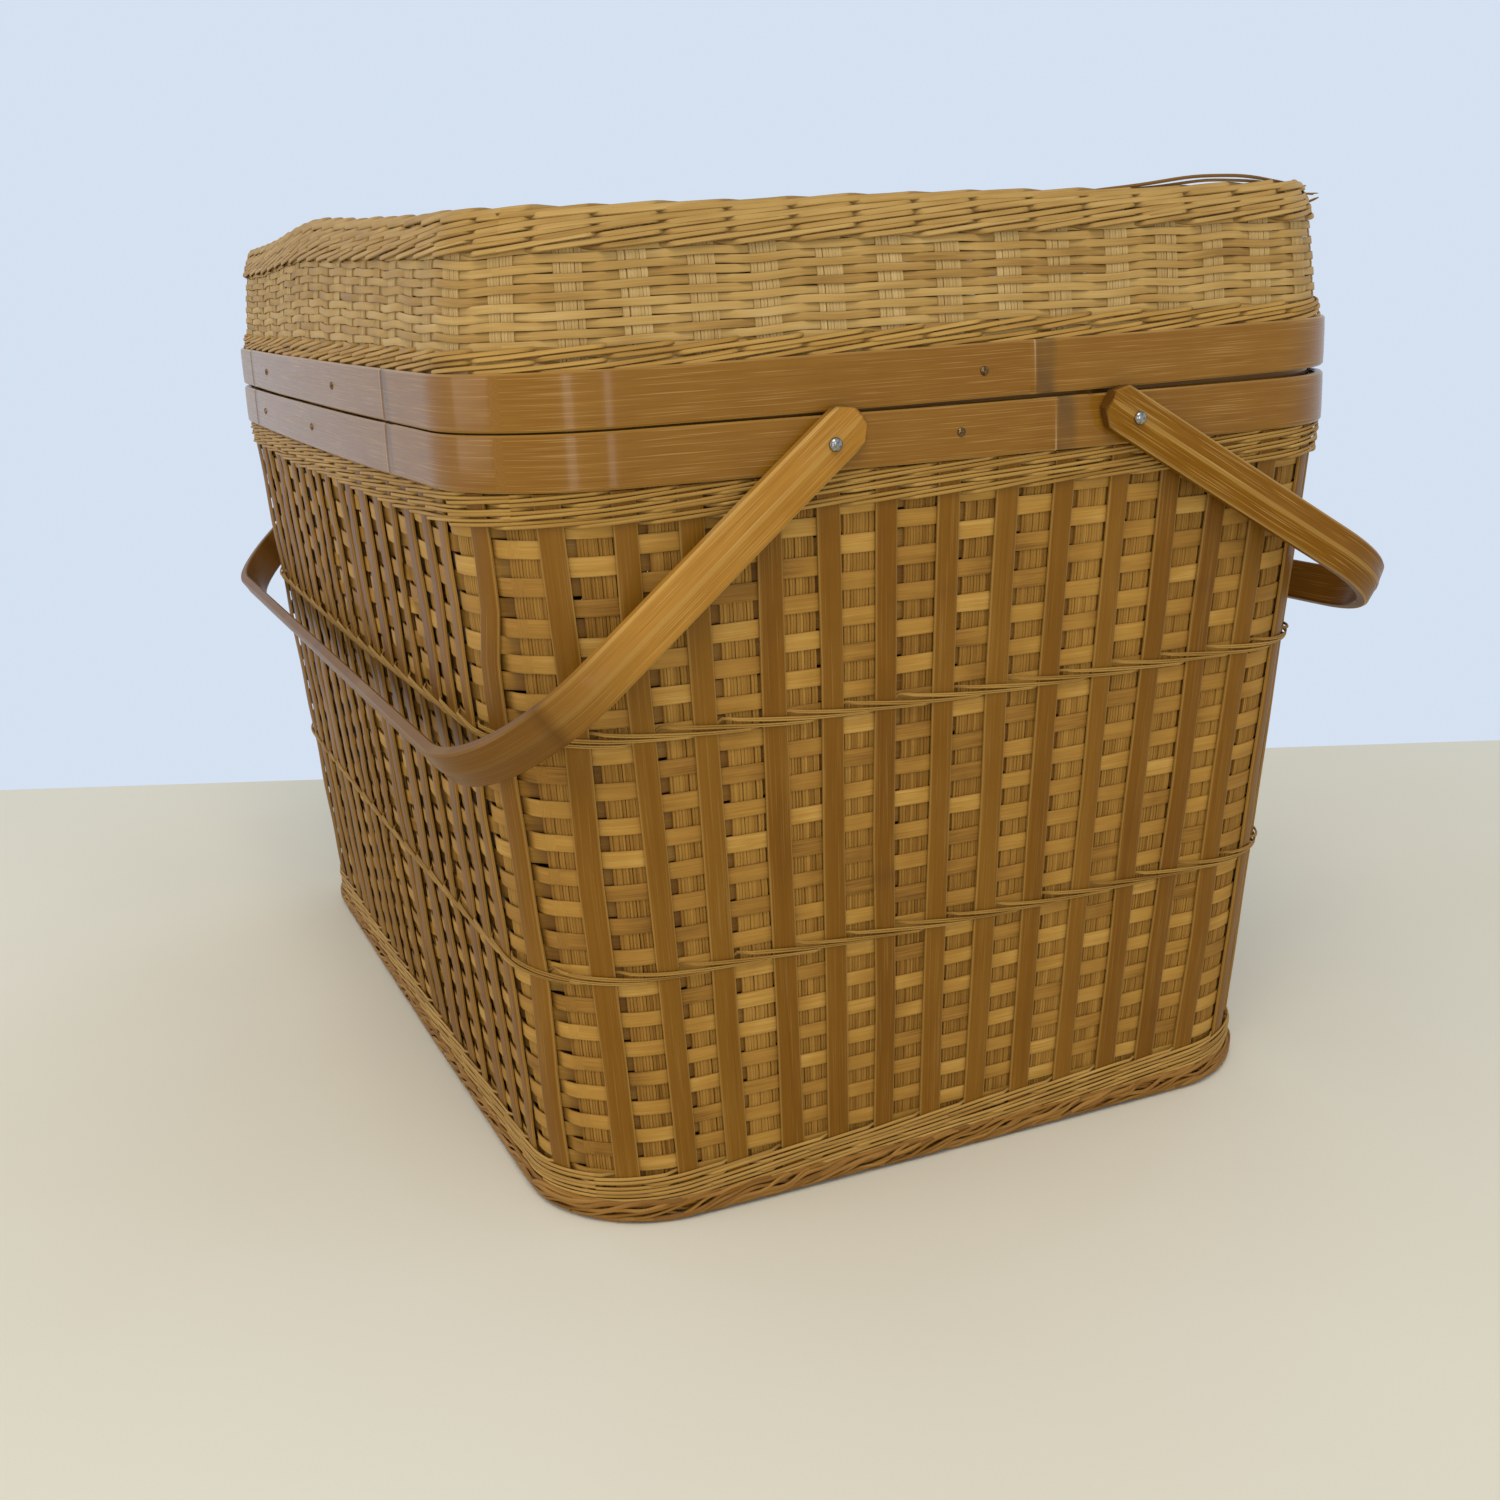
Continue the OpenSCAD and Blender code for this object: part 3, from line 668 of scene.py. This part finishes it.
def band_ring(name, material, inset, thick, z0, z1, knots, lift=None, seed=1):
    """A bent strip round the rim. knots are the places of its nodes, in slat pitches.

    Each node is a raised pale line with a dark stain beside it.
    """
    rng = np.random.default_rng(seed)
    strips = Strips()
    fine = np.concatenate([np.linspace(k - 0.4, k + 0.6, 51) for k in knots]) if knots else []
    u = np.unique(np.round(np.concatenate([np.arange(0, SLATS, 0.18), np.asarray(fine) % SLATS]), 4))
    knot_and_shade, stain, line = np.zeros(len(u)), np.zeros(len(u)), np.zeros(len(u))
    for k in knots:
        d = (u - k + SLATS / 2) % SLATS - SLATS / 2
        knot_and_shade += np.exp(-(d / 0.045) ** 2)
        stain += np.clip((d - 0.02) / 0.03, 0, 1) * np.clip((0.42 - d) / 0.14, 0, 1)
        line += np.abs(d) < 0.015
    half = (z1 - z0) / 2
    bevel = min(0.7, thick / 3) / half
    profile = np.array([(-1 + bevel, -0.5), (1 - bevel, -0.5), (1, -0.28), (1, 0.25),
                        (1 - bevel, 0.46), (0.5, 0.5), (-0.5, 0.5), (-1 + bevel, 0.46), (-1, 0.25),
                        (-1, -0.28)])
    mid = -inset - thick / 2
    edge_wave = wobble(rng, len(u), 0.18, 30)
    dz = profile[:, 0][None] * (half + 0 * edge_wave[:, None])
    do = profile[:, 1][None] * thick + (profile[:, 1] > 0)[None] * 0.35 * knot_and_shade[:, None]
    z = (z0 + z1) / 2 + dz + edge_wave[:, None]
    grid = ring_point(rim_section, u[:, None], z, mid + do)
    add_lift(grid, lift)
    tone = np.clip(0.5 + wobble(rng, len(u), 0.4, 60), 0, 1)
    patchy = 0.60 + 0.20 * np.sin(u[:, None] * 9 + profile[:, 0][None] * 2.6)
    pale = 0.22 + (0.22 if lift else -0.22) * profile[:, 0][None]
    strips.sweep(grid, u * GRAIN_PITCH, dz, np.abs(profile[:, 0])[None] + 0 * dz, tone,
                 knot_and_shade=stain[:, None] * patchy - line[:, None] * pale, closed=True)
    return strips.build(name, material, sharp=40)


def lid_tilt(x, y, z=LID_BAND_TOP):
    """The worn lid doesn't sit level, and its top edge has risen along the left side."""
    risen = 6.3 * np.exp(-((y - 5) / 105) ** 2) + 1.0 * np.exp(-((y + 120) / 60) ** 2)
    left_share = np.clip((-x - 60) / 80, 0, 1)
    top_share = np.clip((z - LID_BAND_TOP) / LID_WALL_H, 0, 1.2)
    out_of_level = 0.55 + 0.93 * x / RIM_X + 0.55 * y / RIM_Y
    return out_of_level + risen * left_share * top_share


def u_on_front(x):
    return SLATS_SHORT / 2 + x / FRONT_PITCH


def u_on_left(y):
    return SLATS - SLATS_LONG / 2 - y / LEFT_PITCH


def bands():
    """The four bent bands of the rim and the lid, with the places of their nodes."""
    body_knots = [u_on_front(30), u_on_left(-153), u_on_left(170), 20.5, 32.6, 43.4]
    lid_knots = [u_on_front(21), u_on_left(-153), u_on_left(170), 19.6, 31.2, 42.2]
    ob = band_ring("rim_band_strip", BAND, 0.0, BAND_T, BAND_BOTTOM, RIM_Z, body_knots, seed=3)
    done(ob, "basket", "band", "rim_outer_band")
    ob = band_ring("rim_inner_strip", BAND, INNER_IN, BAND_T, BAND_BOTTOM + 3, LIP_TOP,
                   [9.0, 27.0, 51.0], seed=4)
    done(ob, "basket", "band", "rim_inner_band")
    ob = band_ring("lid_band_strip", BAND, 0.0, BAND_T, LID_BAND_Z, LID_BAND_TOP, lid_knots,
                   lift=lid_tilt, seed=5)
    done(ob, "lid", "band", "lid_outer_band")
    ob = band_ring("lid_inner_strip", BAND, INNER_IN, BAND_T, LID_SEAT_Z, LID_BAND_TOP + 2,
                   [5.0, 30.0, 60.0], lift=lid_tilt, seed=6)
    done(ob, "lid", "band", "lid_inner_band")


# Lid

def lid_wall():
    """The lid's wall: narrow wefts over and under bundles of four split stakes."""
    rng = np.random.default_rng(41)
    pitch = SLATS / LID_STAKES
    weft = Strips()
    per = 8
    u = np.arange(LID_STAKES * per) / per
    top = LID_TOP - 6.5
    heights = np.arange(LID_SEAT_Z + 1.6, top, 2.95)
    sway = wobble(rng, len(u), 0.7, 60)
    carry = np.zeros(len(u))
    for j, z in enumerate(heights):
        weave = np.tanh(2.2 * (np.cos(math.pi * (u + j)) + 0.22))
        out = -WEAVE_T / 2 + 0.45 * weave + 0.25 * np.clip(weave, 0, 1)
        free = np.clip((z - 318) / 8, 0, 1)
        carry = 0.85 * carry + wobble(rng, len(u), 0.30, 9)
        cross = 0.22 * (-1) ** j * np.sin(math.pi * (u + j))
        rise = (carry + sway + cross) * free
        tone = np.clip(rng.uniform(0.2, 0.95) + wobble(rng, len(u), 0.5, 14), 0, 1)
        half = 1.50 + wobble(rng, len(u), 0.14, 8) - 0.08 * np.abs(weave)
        wall_strip_h(weft, lid_section, u * pitch, z + rise, out, half, 0.6, tone, lift=lid_tilt,
                     along0=j * 77.0, profile=FLAT)
    ob = weft.build("lid_wall_wefts", LID_WEFT, sharp=40)
    done(ob, "lid", "weave", "lid_wall_weave")
    halves = (Strips(), Strips())
    zs = np.linspace(LID_SEAT_Z, LID_TOP - 1.5, 2 * len(heights) + 5)
    row_at = np.interp(zs, heights, np.arange(len(heights)))
    for i in range(LID_STAKES):
        bundle = rng.uniform(0.3, 0.85)
        slide = rng.normal(0, 0.5)
        length = mm_per_u(lid_section, np.full(len(zs), i * pitch), zs)
        for k in range(4):
            lane = slide + (k - 1.5) * LID_STAKE_LANE + rng.normal(0, 0.1)
            out = -WEAVE_T / 2 - 0.15 * np.cos(math.pi * (row_at + i)) + 0.1
            wall_strip_v(halves[i * 2 // LID_STAKES], lid_section, i * pitch + lane / length, zs, out,
                         LID_STAKE_HALF + rng.normal(0, 0.04), 0.5, bundle + rng.uniform(-0.12, 0.12),
                         lift=lid_tilt, profile=GROOVED)
    for stakes, tag in zip(halves, ("near", "far")):
        ob = stakes.build("lid_wall_stakes_" + tag, LID_STAKE, sharp=25)
        done(ob, "lid", "weave", "lid_wall_weave")


def lid_twinings():
    """Twined strands above the lid's band, and those that close its shoulder."""
    rng = np.random.default_rng(43)
    pitch = SLATS / LID_STAKES
    lower = Strips()
    for row, z in enumerate((LID_BAND_TOP + 1.6, LID_BAND_TOP + 5.2)):
        wale(lower, lid_section, z, rng, pitch_u=pitch, amp=1.9, front=0.8, back=-1.2, half=0.78,
             thick=1.1, lift=lid_tilt, u_shift=(row + 0.5) * pitch, wander=0.55, plies=1,
             profile=LENS, hide=0.3)
    ob = lower.build("lid_lower_strands", TWINE, sharp=60)
    done(ob, "lid", "twine", "lid_twining_lower")
    upper = Strips()
    rows = ((LID_TOP - 10.4, 2.2), (LID_TOP - 7.2, 2.1), (LID_TOP - 4.0, 1.8), (LID_TOP - 0.4, 1.1))
    for row, (z, amp) in enumerate(rows):
        wale(upper, lid_section, z, rng, pitch_u=pitch, amp=amp, front=0.9 - 0.35 * row,
             back=-1.2 - 0.35 * row, half=0.88 + 0.08 * row, thick=1.15, lift=lid_tilt,
             u_shift=(0.5 + row) * pitch, wander=0.8, plies=1, profile=LENS, hide=0.3)
    ob = upper.build("lid_upper_strands", LID_WEFT, sharp=60)
    done(ob, "lid", "twine", "lid_twining_upper")
    loose_strands(rng)


# Places of the lid's frayed tips, and the way they point
FRAYED = ((158, -238, -0.6), (164, -232, -0.2), (160, -226, 0.3), (168, -214, 0.1),
          (-164, 196, 2.6), (-167, 184, 3.0))


def loose_strands(rng):
    """Worn ends on the lid: a lifted strand over the front edge and frayed tips at two corners."""
    strips = Strips()
    round_bar = np.array([(math.cos(t), math.sin(t)) for t in np.arange(6) / 6 * TAU])
    even = np.linspace(0, 1, 25)

    def strand(points, radius):
        """A round strand, thinner at its ends, smoothed through the points."""
        points = np.asarray(points, float)
        t = np.linspace(0, 1, len(points))
        path = np.stack([np.interp(even, t, points[:, c]) for c in range(3)], -1)
        for _ in range(4):
            path[1:-1] = (path[:-2] + path[1:-1] * 2 + path[2:]) / 4
        ahead = np.gradient(path, axis=0)
        ahead /= np.linalg.norm(ahead, axis=1)[:, None]
        side = np.cross(ahead, (0.02, 0.01, 1.0))
        side /= np.linalg.norm(side, axis=1)[:, None]
        up = np.cross(side, ahead)
        size = radius * np.interp(even, [0, 0.1, 0.85, 1], [0.8, 1, 0.9, 0.35])
        grid = path[:, None] + size[:, None, None] * (round_bar[None, :, :1] * side[:, None]
                                                      + round_bar[None, :, 1:] * up[:, None])
        add_lift(grid, lid_tilt)
        # These strands get a dark mix of 0.55, which paints the shade they lie in.
        strips.sweep(grid, 40 * even, round_bar[None, :, 0] * radius + 0 * grid[..., 0],
                     0 * grid[..., 0], rng.uniform(0, 0.3), knot_and_shade=0.55 + 0 * grid[..., 0])

    z = LID_TOP
    strand([(50, -255, z - 0.5), (74, -256, z + 1.2), (98, -256, z + 3.8), (122, -254, z + 3.6),
            (146, -250, z + 0.5)], 0.75)
    strand([(58, -254, z - 0.6), (82, -255, z + 0.4), (104, -255, z + 2.4), (128, -252, z + 1.6),
            (150, -247, z - 0.5)], 0.65)
    for x, y, turn in FRAYED:
        for _ in range(3):
            reach = rng.uniform(5, 11)
            a = turn + rng.normal(0, 0.35)
            low = z - rng.uniform(0, 9)
            strand([(x, y, low), (x + 0.5 * reach * math.cos(a), y + 0.5 * reach * math.sin(a), low + 1.5),
                    (x + reach * math.cos(a), y + reach * math.sin(a), low + rng.uniform(-1, 4))],
                   rng.uniform(0.35, 0.6))
    ob = strips.build("lid_loose_strands", TWINE, sharp=60)
    done(ob, "lid", "twine", "lid_twining_upper")


SAMPLES_PER_CROSSING = 4


def flat_weave(name, section_z, section, inset, height, step_x, step_y, wide_x, wide_y, thick,
               amp, body, node, seed, lift=None, dome=0.0, mat_x=WEAVER, mat_y=STAKE,
               shift=(0.0, 0.0)):
    """A woven sheet inside an outline. Strips along X cross strips along Y.

    step_x and wide_x are the pitch and width of the strips that run along Y, step_y and wide_y
    those of the others. amp is how far a strip swings up and down.
    """
    rng = np.random.default_rng(seed)
    a, b, r, bow_x, bow_y = (float(v) for v in section(section_z))
    a, b, r = a - inset, b - inset, max(5.0, r - inset)

    def reach(v, along_x):
        """Half width of the outline at v, with the bows of its sides."""
        p, q = (a, b) if along_x else (b, a)
        end_bow, side_bow = (bow_x, bow_y) if along_x else (bow_y, bow_x)
        at = np.linspace(0, p, 600)
        over = np.maximum(0, at - (p - r))
        side = q - r + np.sqrt(np.maximum(0, r * r - over * over)) + side_bow * (1 - (at / p) ** 2)
        inside = at[side >= abs(v)]
        if len(inside) == 0:
            return 0.0
        return float(inside[-1] + 0.95 * end_bow * max(0.0, 1 - (v / q) ** 2))

    def rise(x, y):
        f2 = np.maximum((x / a) ** 2, (y / b) ** 2)
        return height + dome * (1 - np.clip(f2, 0, 1)) + (lift(x, y, height) if lift else 0)

    nx, ny = int(2 * (a + bow_x) / step_x), int(2 * (b + bow_y) / step_y)
    xs = (np.arange(nx) - (nx - 1) / 2) * step_x
    ys = (np.arange(ny) - (ny - 1) / 2) * step_y
    for along_x, lines, cross, wide, material, tag in (
            (True, ys, xs, wide_y, mat_x, "across"), (False, xs, ys, wide_x, mat_y, "along")):
        strips = Strips()
        step = cross[1] - cross[0]
        for j, v in enumerate(lines):
            half_len = reach(v, along_x)
            if half_len < 8:
                continue
            n = max(4, int(2 * half_len / step * SAMPLES_PER_CROSSING))
            s = np.linspace(-half_len, half_len, n + 1)
            i = (s - cross[0]) / step
            sign = 1 if along_x else -1
            wave = sign * over_under(i, j, 1.4) * amp
            side = v + FLAT[:, 0][None] * wide / 2 + 0 * s[:, None]
            along = s[:, None] + 0 * side
            x, y = (along, side) if along_x else (side, along)
            z = rise(x, y) + wave[:, None] + FLAT[:, 1][None] * thick
            grid = np.stack([x + shift[0], y + shift[1], z], -1)
            tone = np.clip(rng.uniform(0.15, 0.95) + wobble(rng, n + 1, 0.2, 12), 0, 1)
            across = FLAT[:, 0][None] * wide / 2 + 0 * s[:, None]
            edge = np.abs(FLAT[:, 0])[None] + 0 * across
            turned = slice(None, None, sign)
            strips.sweep(grid[:, turned], s + j * 71.0, across[:, turned], edge[:, turned], tone)
        ob = strips.build(name + "_" + tag, material, sharp=40)
        done(ob, body, "weave", node)


def lid_top():
    """The domed top: narrow strips across the lid and wide ones along it."""
    flat_weave("lid_top", LID_TOP, lid_section, inset=1.5, height=LID_TOP - 1.4, step_x=22.6,
               step_y=2.9, wide_x=9.4, wide_y=3.3, thick=0.6, amp=0.55, body="lid",
               node="lid_top_panel", seed=47, lift=lid_tilt, dome=LID_RISE, mat_x=LID_WEFT)


def base():
    """The basket's floor, which follows the foot's lean."""
    flat_weave("base", 0.0, body_section, inset=0.6, height=1.35, step_x=13.6, step_y=13.2,
               wide_x=12.6, wide_y=12.4, thick=0.7, amp=0.6, body="basket", node="base_panel",
               seed=53, shift=(FOOT_LEAN_X, FOOT_LEAN_Y))


# Handles

def bail_path():
    """Samples along the U from the front rivet's end: place, outward direction and run length."""
    a = HANDLE_IN + STRIP_T / 2
    parts = []
    arm = np.concatenate([np.linspace(-TAIL_L, -TAIL_L + TAIL_CHAMFER, 6)[:-1],
                          np.linspace(-TAIL_L + TAIL_CHAMFER, BAIL_L - BEND_R, 26)])
    parts.append(np.stack([arm, 0 * arm - a, 0 * arm, 0 * arm - 1], -1))
    t = np.linspace(0, math.pi / 2, 20)[1:-1]
    parts.append(np.stack([BAIL_L - BEND_R + BEND_R * np.sin(t), -(a - BEND_R) - BEND_R * np.cos(t),
                           np.sin(t), -np.cos(t)], -1))
    y = np.linspace(-(a - BEND_R), 0, 30)
    parts.append(np.stack([0 * y + BAIL_L, y, 0 * y + 1, 0 * y], -1))
    half = np.concatenate(parts)
    back = half[-2::-1].copy()
    back[:, 1] *= -1
    back[:, 3] *= -1
    path = np.concatenate([half, back])
    step = np.linalg.norm(np.diff(path[:, :2], axis=0), axis=1)
    return path, np.concatenate([[0], np.cumsum(step)])


def bail(name, material, mirror, angle, seed, knots, bar_painted_shade):
    """One handle, hanging at angle degrees below level. knots are its nodes' places along it.

    The last argument is the share of painted shade on its crossbar. The left handle is the mirrored one.
    """
    rng = np.random.default_rng(seed)
    path, run = bail_path()
    total = run[-1]
    to_end = np.minimum(run, total - run)
    half = np.minimum(STRIP_W / 2, STRIP_W / 2 - TAIL_CHAMFER + to_end)
    profile = np.array([(-0.92, -0.5), (0.92, -0.5), (1, -0.4), (1, 0.2), (0.88, 0.36), (0.24, 0.44),
                        (0.10, 0.5), (-0.10, 0.5), (-0.24, 0.44), (-0.88, 0.36), (-1, 0.2),
                        (-1, -0.4)])
    knot_and_shade = sum(np.exp(-((run - k) / 2.2) ** 2) for k in knots)
    ends = np.clip(1 - to_end / 0.9, 0, 1)
    bar = np.clip((to_end - (BAIL_L + TAIL_L - BEND_R - 20)) / 50, 0, 1)
    thick = STRIP_T * (1 + 0.05 * knot_and_shade)
    v = profile[:, 0][None] * half[:, None]
    o = profile[:, 1][None] * thick[:, None]
    s = path[:, 0][:, None] + path[:, 2][:, None] * o
    y = path[:, 1][:, None] + path[:, 3][:, None] * o
    sway = wobble(rng, len(run), 0.5, 30)[:, None]
    th = math.radians(angle)
    x = PIVOT_X + s * math.cos(th) + (v + sway) * math.sin(th)
    z = PIVOT_Z - s * math.sin(th) + (v + sway) * math.cos(th)
    grid = np.stack([x, y, z], -1)
    if mirror:
        grid[..., 0] *= -1
        grid = grid[:, ::-1]
        v = v[:, ::-1]
        profile = profile[::-1]
    ridge = np.where(np.abs(profile[:, 0]) < 0.2, 0.94, np.abs(profile[:, 0]))
    inner = profile[:, 1] < -0.3
    flank = (np.abs(profile[:, 0]) == 1) & (profile[:, 1] < 0.3)
    edge = ridge[None] * np.where(inner, 0.0, 1.0)[None] + 0 * v
    # Of this darkening, the crossbar's share and the inner face's share are painted shade.
    dark = np.maximum((knot_and_shade * 0.35 + ends * 0.9 + bar_painted_shade * bar)[:, None],
                      inner[None] * (0.15 + 0.45 * bar[:, None]))
    cut = np.clip((TAIL_CHAMFER + 2.0 - to_end) / 1.5, 0, 1)
    dark = np.maximum(dark, flank[None] * cut[:, None] * 0.85)
    strips = Strips()
    tone = np.clip(0.5 + wobble(rng, len(run), 0.35, 25), 0, 1)
    strips.sweep(grid, run, v, edge, tone, knot_and_shade=dark + 0 * v)
    return strips.build(name, material, sharp=30)


def handles():
    left = bail("left_handle_strip", LEFT_HANDLE, True, LEFT_ANGLE, 61, (150, 420, 700), 0.85)
    done(left, "left_handle", "handle", "left_handle")
    right = bail("right_handle_strip", RIGHT_HANDLE_SHADED, False, RIGHT_ANGLE, 67, (230, 500, 760), 0.15)
    done(right, "right_handle", "handle", "right_handle")


# Fastenings: radii of the pins and of their heads

RIVET_SHANK, RIVET_HEAD = 1.6, 2.5
BRAD_SHANK, BRAD_HEAD = 0.8, 1.65


def lathe(profile, at, axis, steps=28):
    """Spins (radius, along) pairs round axis through at, in millimetres."""
    mesh = bmesh.new()
    rings = []
    turn = Vector((0, 0, 1)).rotation_difference(Vector(axis)).to_matrix()
    for r, h in profile:
        ring = []
        for i in range(steps):
            t = TAU * i / steps
            ring.append(mesh.verts.new((Vector(at) + turn @ Vector((r * math.cos(t),
                                                                     r * math.sin(t), h))) * MM))
        rings.append(ring)
    for lo, hi in zip(rings, rings[1:]):
        for i in range(steps):
            mesh.faces.new((lo[i], lo[(i + 1) % steps], hi[(i + 1) % steps], hi[i]))
    mesh.faces.new(rings[0][::-1])
    mesh.faces.new(rings[-1])
    return mesh


def join_lathes(name, lathes, material):
    """One object from several lathed shapes."""
    whole = bmesh.new()
    for one in lathes:
        temp = bpy.data.meshes.new("part")
        one.to_mesh(temp)
        whole.from_mesh(temp)
        one.free()
        bpy.data.meshes.remove(temp)
    mesh = bpy.data.meshes.new(name)
    bmesh.ops.recalc_face_normals(whole, faces=whole.faces)
    whole.to_mesh(mesh)
    whole.free()
    return as_object(name, mesh, material, 45)


def dome(shank, head, height, depth):
    """Profile of a pin with a domed head: depth of shank behind it."""
    cap = [(head * math.cos(t), height * math.sin(t)) for t in np.linspace(0, 1.45, 8)]
    return [(shank, -depth), (shank, -0.05), (head * 0.97, -0.05)] + cap


def rivets():
    """Pins the handles turn on: a dome outside, a shank through both bands and a tail inside."""
    outside = HANDLE_IN + STRIP_T + 0.25
    inside = RIM_Y + RIM_BOW_Y * (1 - (PIVOT_X / RIM_X) ** 2) - INNER_IN - BAND_T - 0.8
    for fore, sy in (("front", -1), ("back", 1)):
        for hand, sx in (("left", -1), ("right", 1)):
            head = lathe(dome(RIVET_SHANK, RIVET_HEAD, 1.5, outside - inside),
                         (sx * PIVOT_X, sy * outside, PIVOT_Z), (0, sy, 0))
            tail = lathe([(RIVET_HEAD, 0), (RIVET_HEAD, 0.7), (RIVET_HEAD - 0.4, 1.0)],
                         (sx * PIVOT_X, sy * inside, PIVOT_Z), (0, -sy, 0))
            name = "rivet_" + fore + "_" + hand
            ob = join_lathes(name + "_dome", [head, tail], STEEL)
            done(ob, "basket", "rivet", name)


def brads(name, z, short_x, long_ys, body, node, lift=None):
    """Six brads at height z: one on each short side and one at each of long_ys on the long ones."""
    spots = []
    for k in (-1, 1):
        y = RIM_Y + RIM_BOW_Y * (1 - (short_x / RIM_X) ** 2)
        spots.append((-k * short_x, k * y, (0, k, 0)))
        for long_y in long_ys:
            x = RIM_X + RIM_BOW_X * (1 - (long_y / RIM_Y) ** 2)
            spots.append((k * x, -k * long_y, (k, 0, 0)))
    pins = []
    for x, y, axis in spots:
        up = lift(x, y) if lift else 0.0
        pins.append(lathe(dome(BRAD_SHANK, BRAD_HEAD, 0.85, 7.0), (x, y, z + up), axis, steps=20))
    done(join_lathes(name, pins, BRASS), body, "brad", node)


def fastenings():
    rivets()
    brads("body_brad_heads", BAND_BOTTOM + BAND_H / 2, -9.5, (133.0, -6.0), "basket", "body_brads")
    brads("lid_brad_heads", LID_BAND_Z + BAND_H / 2, 0.0, (113.0, -62.0), "lid", "lid_brads",
          lift=lid_tilt)


# Stage, light and camera, in metres

TABLE_HALF_WIDTH, TABLE_NEAR_EDGE = 1.8, -1.3
TABLE_ALONG, TABLE_BACK = Vector((0.9005, -0.4348, 0)), Vector((0.4348, 0.9005, 0))
ON_FAR_EDGE = Vector((-0.347, 0.578, 0))


def stage():
    """The table, which ends behind the basket."""
    t = Tree("pale_cloth")
    where = t.node("ShaderNodeTexCoord").outputs["Object"]
    n = t.noise(where, detail=4.0, scale=2.2)
    fine = t.noise(where, detail=2.0, scale=1400.0)
    t.put(t.ramp(n, [(0.3, (0.69, 0.63, 0.485)), (0.7, (0.74, 0.68, 0.54))]),
          t.shader.inputs["Base Color"])
    t.shader.inputs["Roughness"].default_value = 0.85
    t.bump(fine, 0.15, 0.0003)
    mesh = bpy.data.meshes.new("floor")
    far = TABLE_BACK.dot(ON_FAR_EDGE)
    corners = [TABLE_ALONG * side + TABLE_BACK * depth for side, depth in (
        (-TABLE_HALF_WIDTH, TABLE_NEAR_EDGE), (TABLE_HALF_WIDTH, TABLE_NEAR_EDGE),
        (TABLE_HALF_WIDTH, far), (-TABLE_HALF_WIDTH, far))]
    mesh.from_pydata([tuple(c) for c in corners], [], [(0, 1, 2, 3)])
    mesh.materials.append(t.material)
    floor = bpy.data.objects.new("floor", mesh)
    bpy.context.scene.collection.objects.link(floor)
    floor.location.z = -0.0002


def lamp(name, at, towards, size, power, colour):
    """A flat lamp of size (across, up)."""
    data = bpy.data.lights.new(name, "AREA")
    data.shape = "RECTANGLE"
    data.size, data.size_y = size
    data.energy = power
    data.color = colour
    ob = bpy.data.objects.new(name, data)
    bpy.context.scene.collection.objects.link(ob)
    ob.location = at
    ob.rotation_euler = (Vector(towards) - Vector(at)).to_track_quat("-Z", "Y").to_euler()


def lights():
    """A pale blue room with a warm lamp, two windows that the bands reflect and a soft fill."""
    world = bpy.data.worlds.new("studio")
    bpy.context.scene.world = world
    world.use_nodes = True
    world.node_tree.nodes["Background"].inputs["Color"].default_value = (0.665, 0.755, 0.885, 1)
    world.node_tree.nodes["Background"].inputs["Strength"].default_value = 1.0
    lamp("key", (-0.7, -1.7, 2.6), (0, 0, 0.15), (1.5, 1.2), 31.0, (1.0, 0.88, 0.68))
    lamp("window_left", (-1.1, -2.02, 0.55), (-0.16, -0.24, 0.3), (0.24, 1.3), 4.8, (1.0, 0.97, 0.95))
    lamp("window_right", (-0.1, -2.26, 0.55), (-0.15, -0.25, 0.3), (0.18, 1.3), 3.6, (1.0, 0.97, 0.95))
    lamp("left_fill", (-1.7, 0.1, 0.5), (-0.17, 0.0, 0.18), (0.9, 0.8), 5.5, (1.0, 0.96, 0.92))


SENSOR_WIDTH, FOCAL_LENGTH = 36.0, 42.108
CAMERA_AT = (-0.3256, -0.8104, 0.3465)


def camera():
    """The camera, in front of the basket and to the left."""
    bpy.context.scene.view_settings.view_transform = "Standard"
    right = Vector((0.9145, -0.4021, -0.0445))
    forward = Vector((0.3780, 0.8885, -0.2605)).normalized()
    right = (right - forward * right.dot(forward)).normalized()
    up = right.cross(forward)
    data = bpy.data.cameras.new("camera")
    data.sensor_width = SENSOR_WIDTH
    data.lens = FOCAL_LENGTH
    data.clip_start, data.clip_end = 0.02, 20
    ob = bpy.data.objects.new("camera", data)
    ob.matrix_world = Matrix((
        (right.x, up.x, -forward.x, CAMERA_AT[0]), (right.y, up.y, -forward.y, CAMERA_AT[1]),
        (right.z, up.z, -forward.z, CAMERA_AT[2]), (0, 0, 0, 1)))
    bpy.context.scene.collection.objects.link(ob)
    bpy.context.scene.camera = ob


camera()
lights()
stage()
woven_wall()
slats()
twinings()
foot()
bands()
lid_wall()
lid_twinings()
lid_top()
base()
handles()
fastenings()
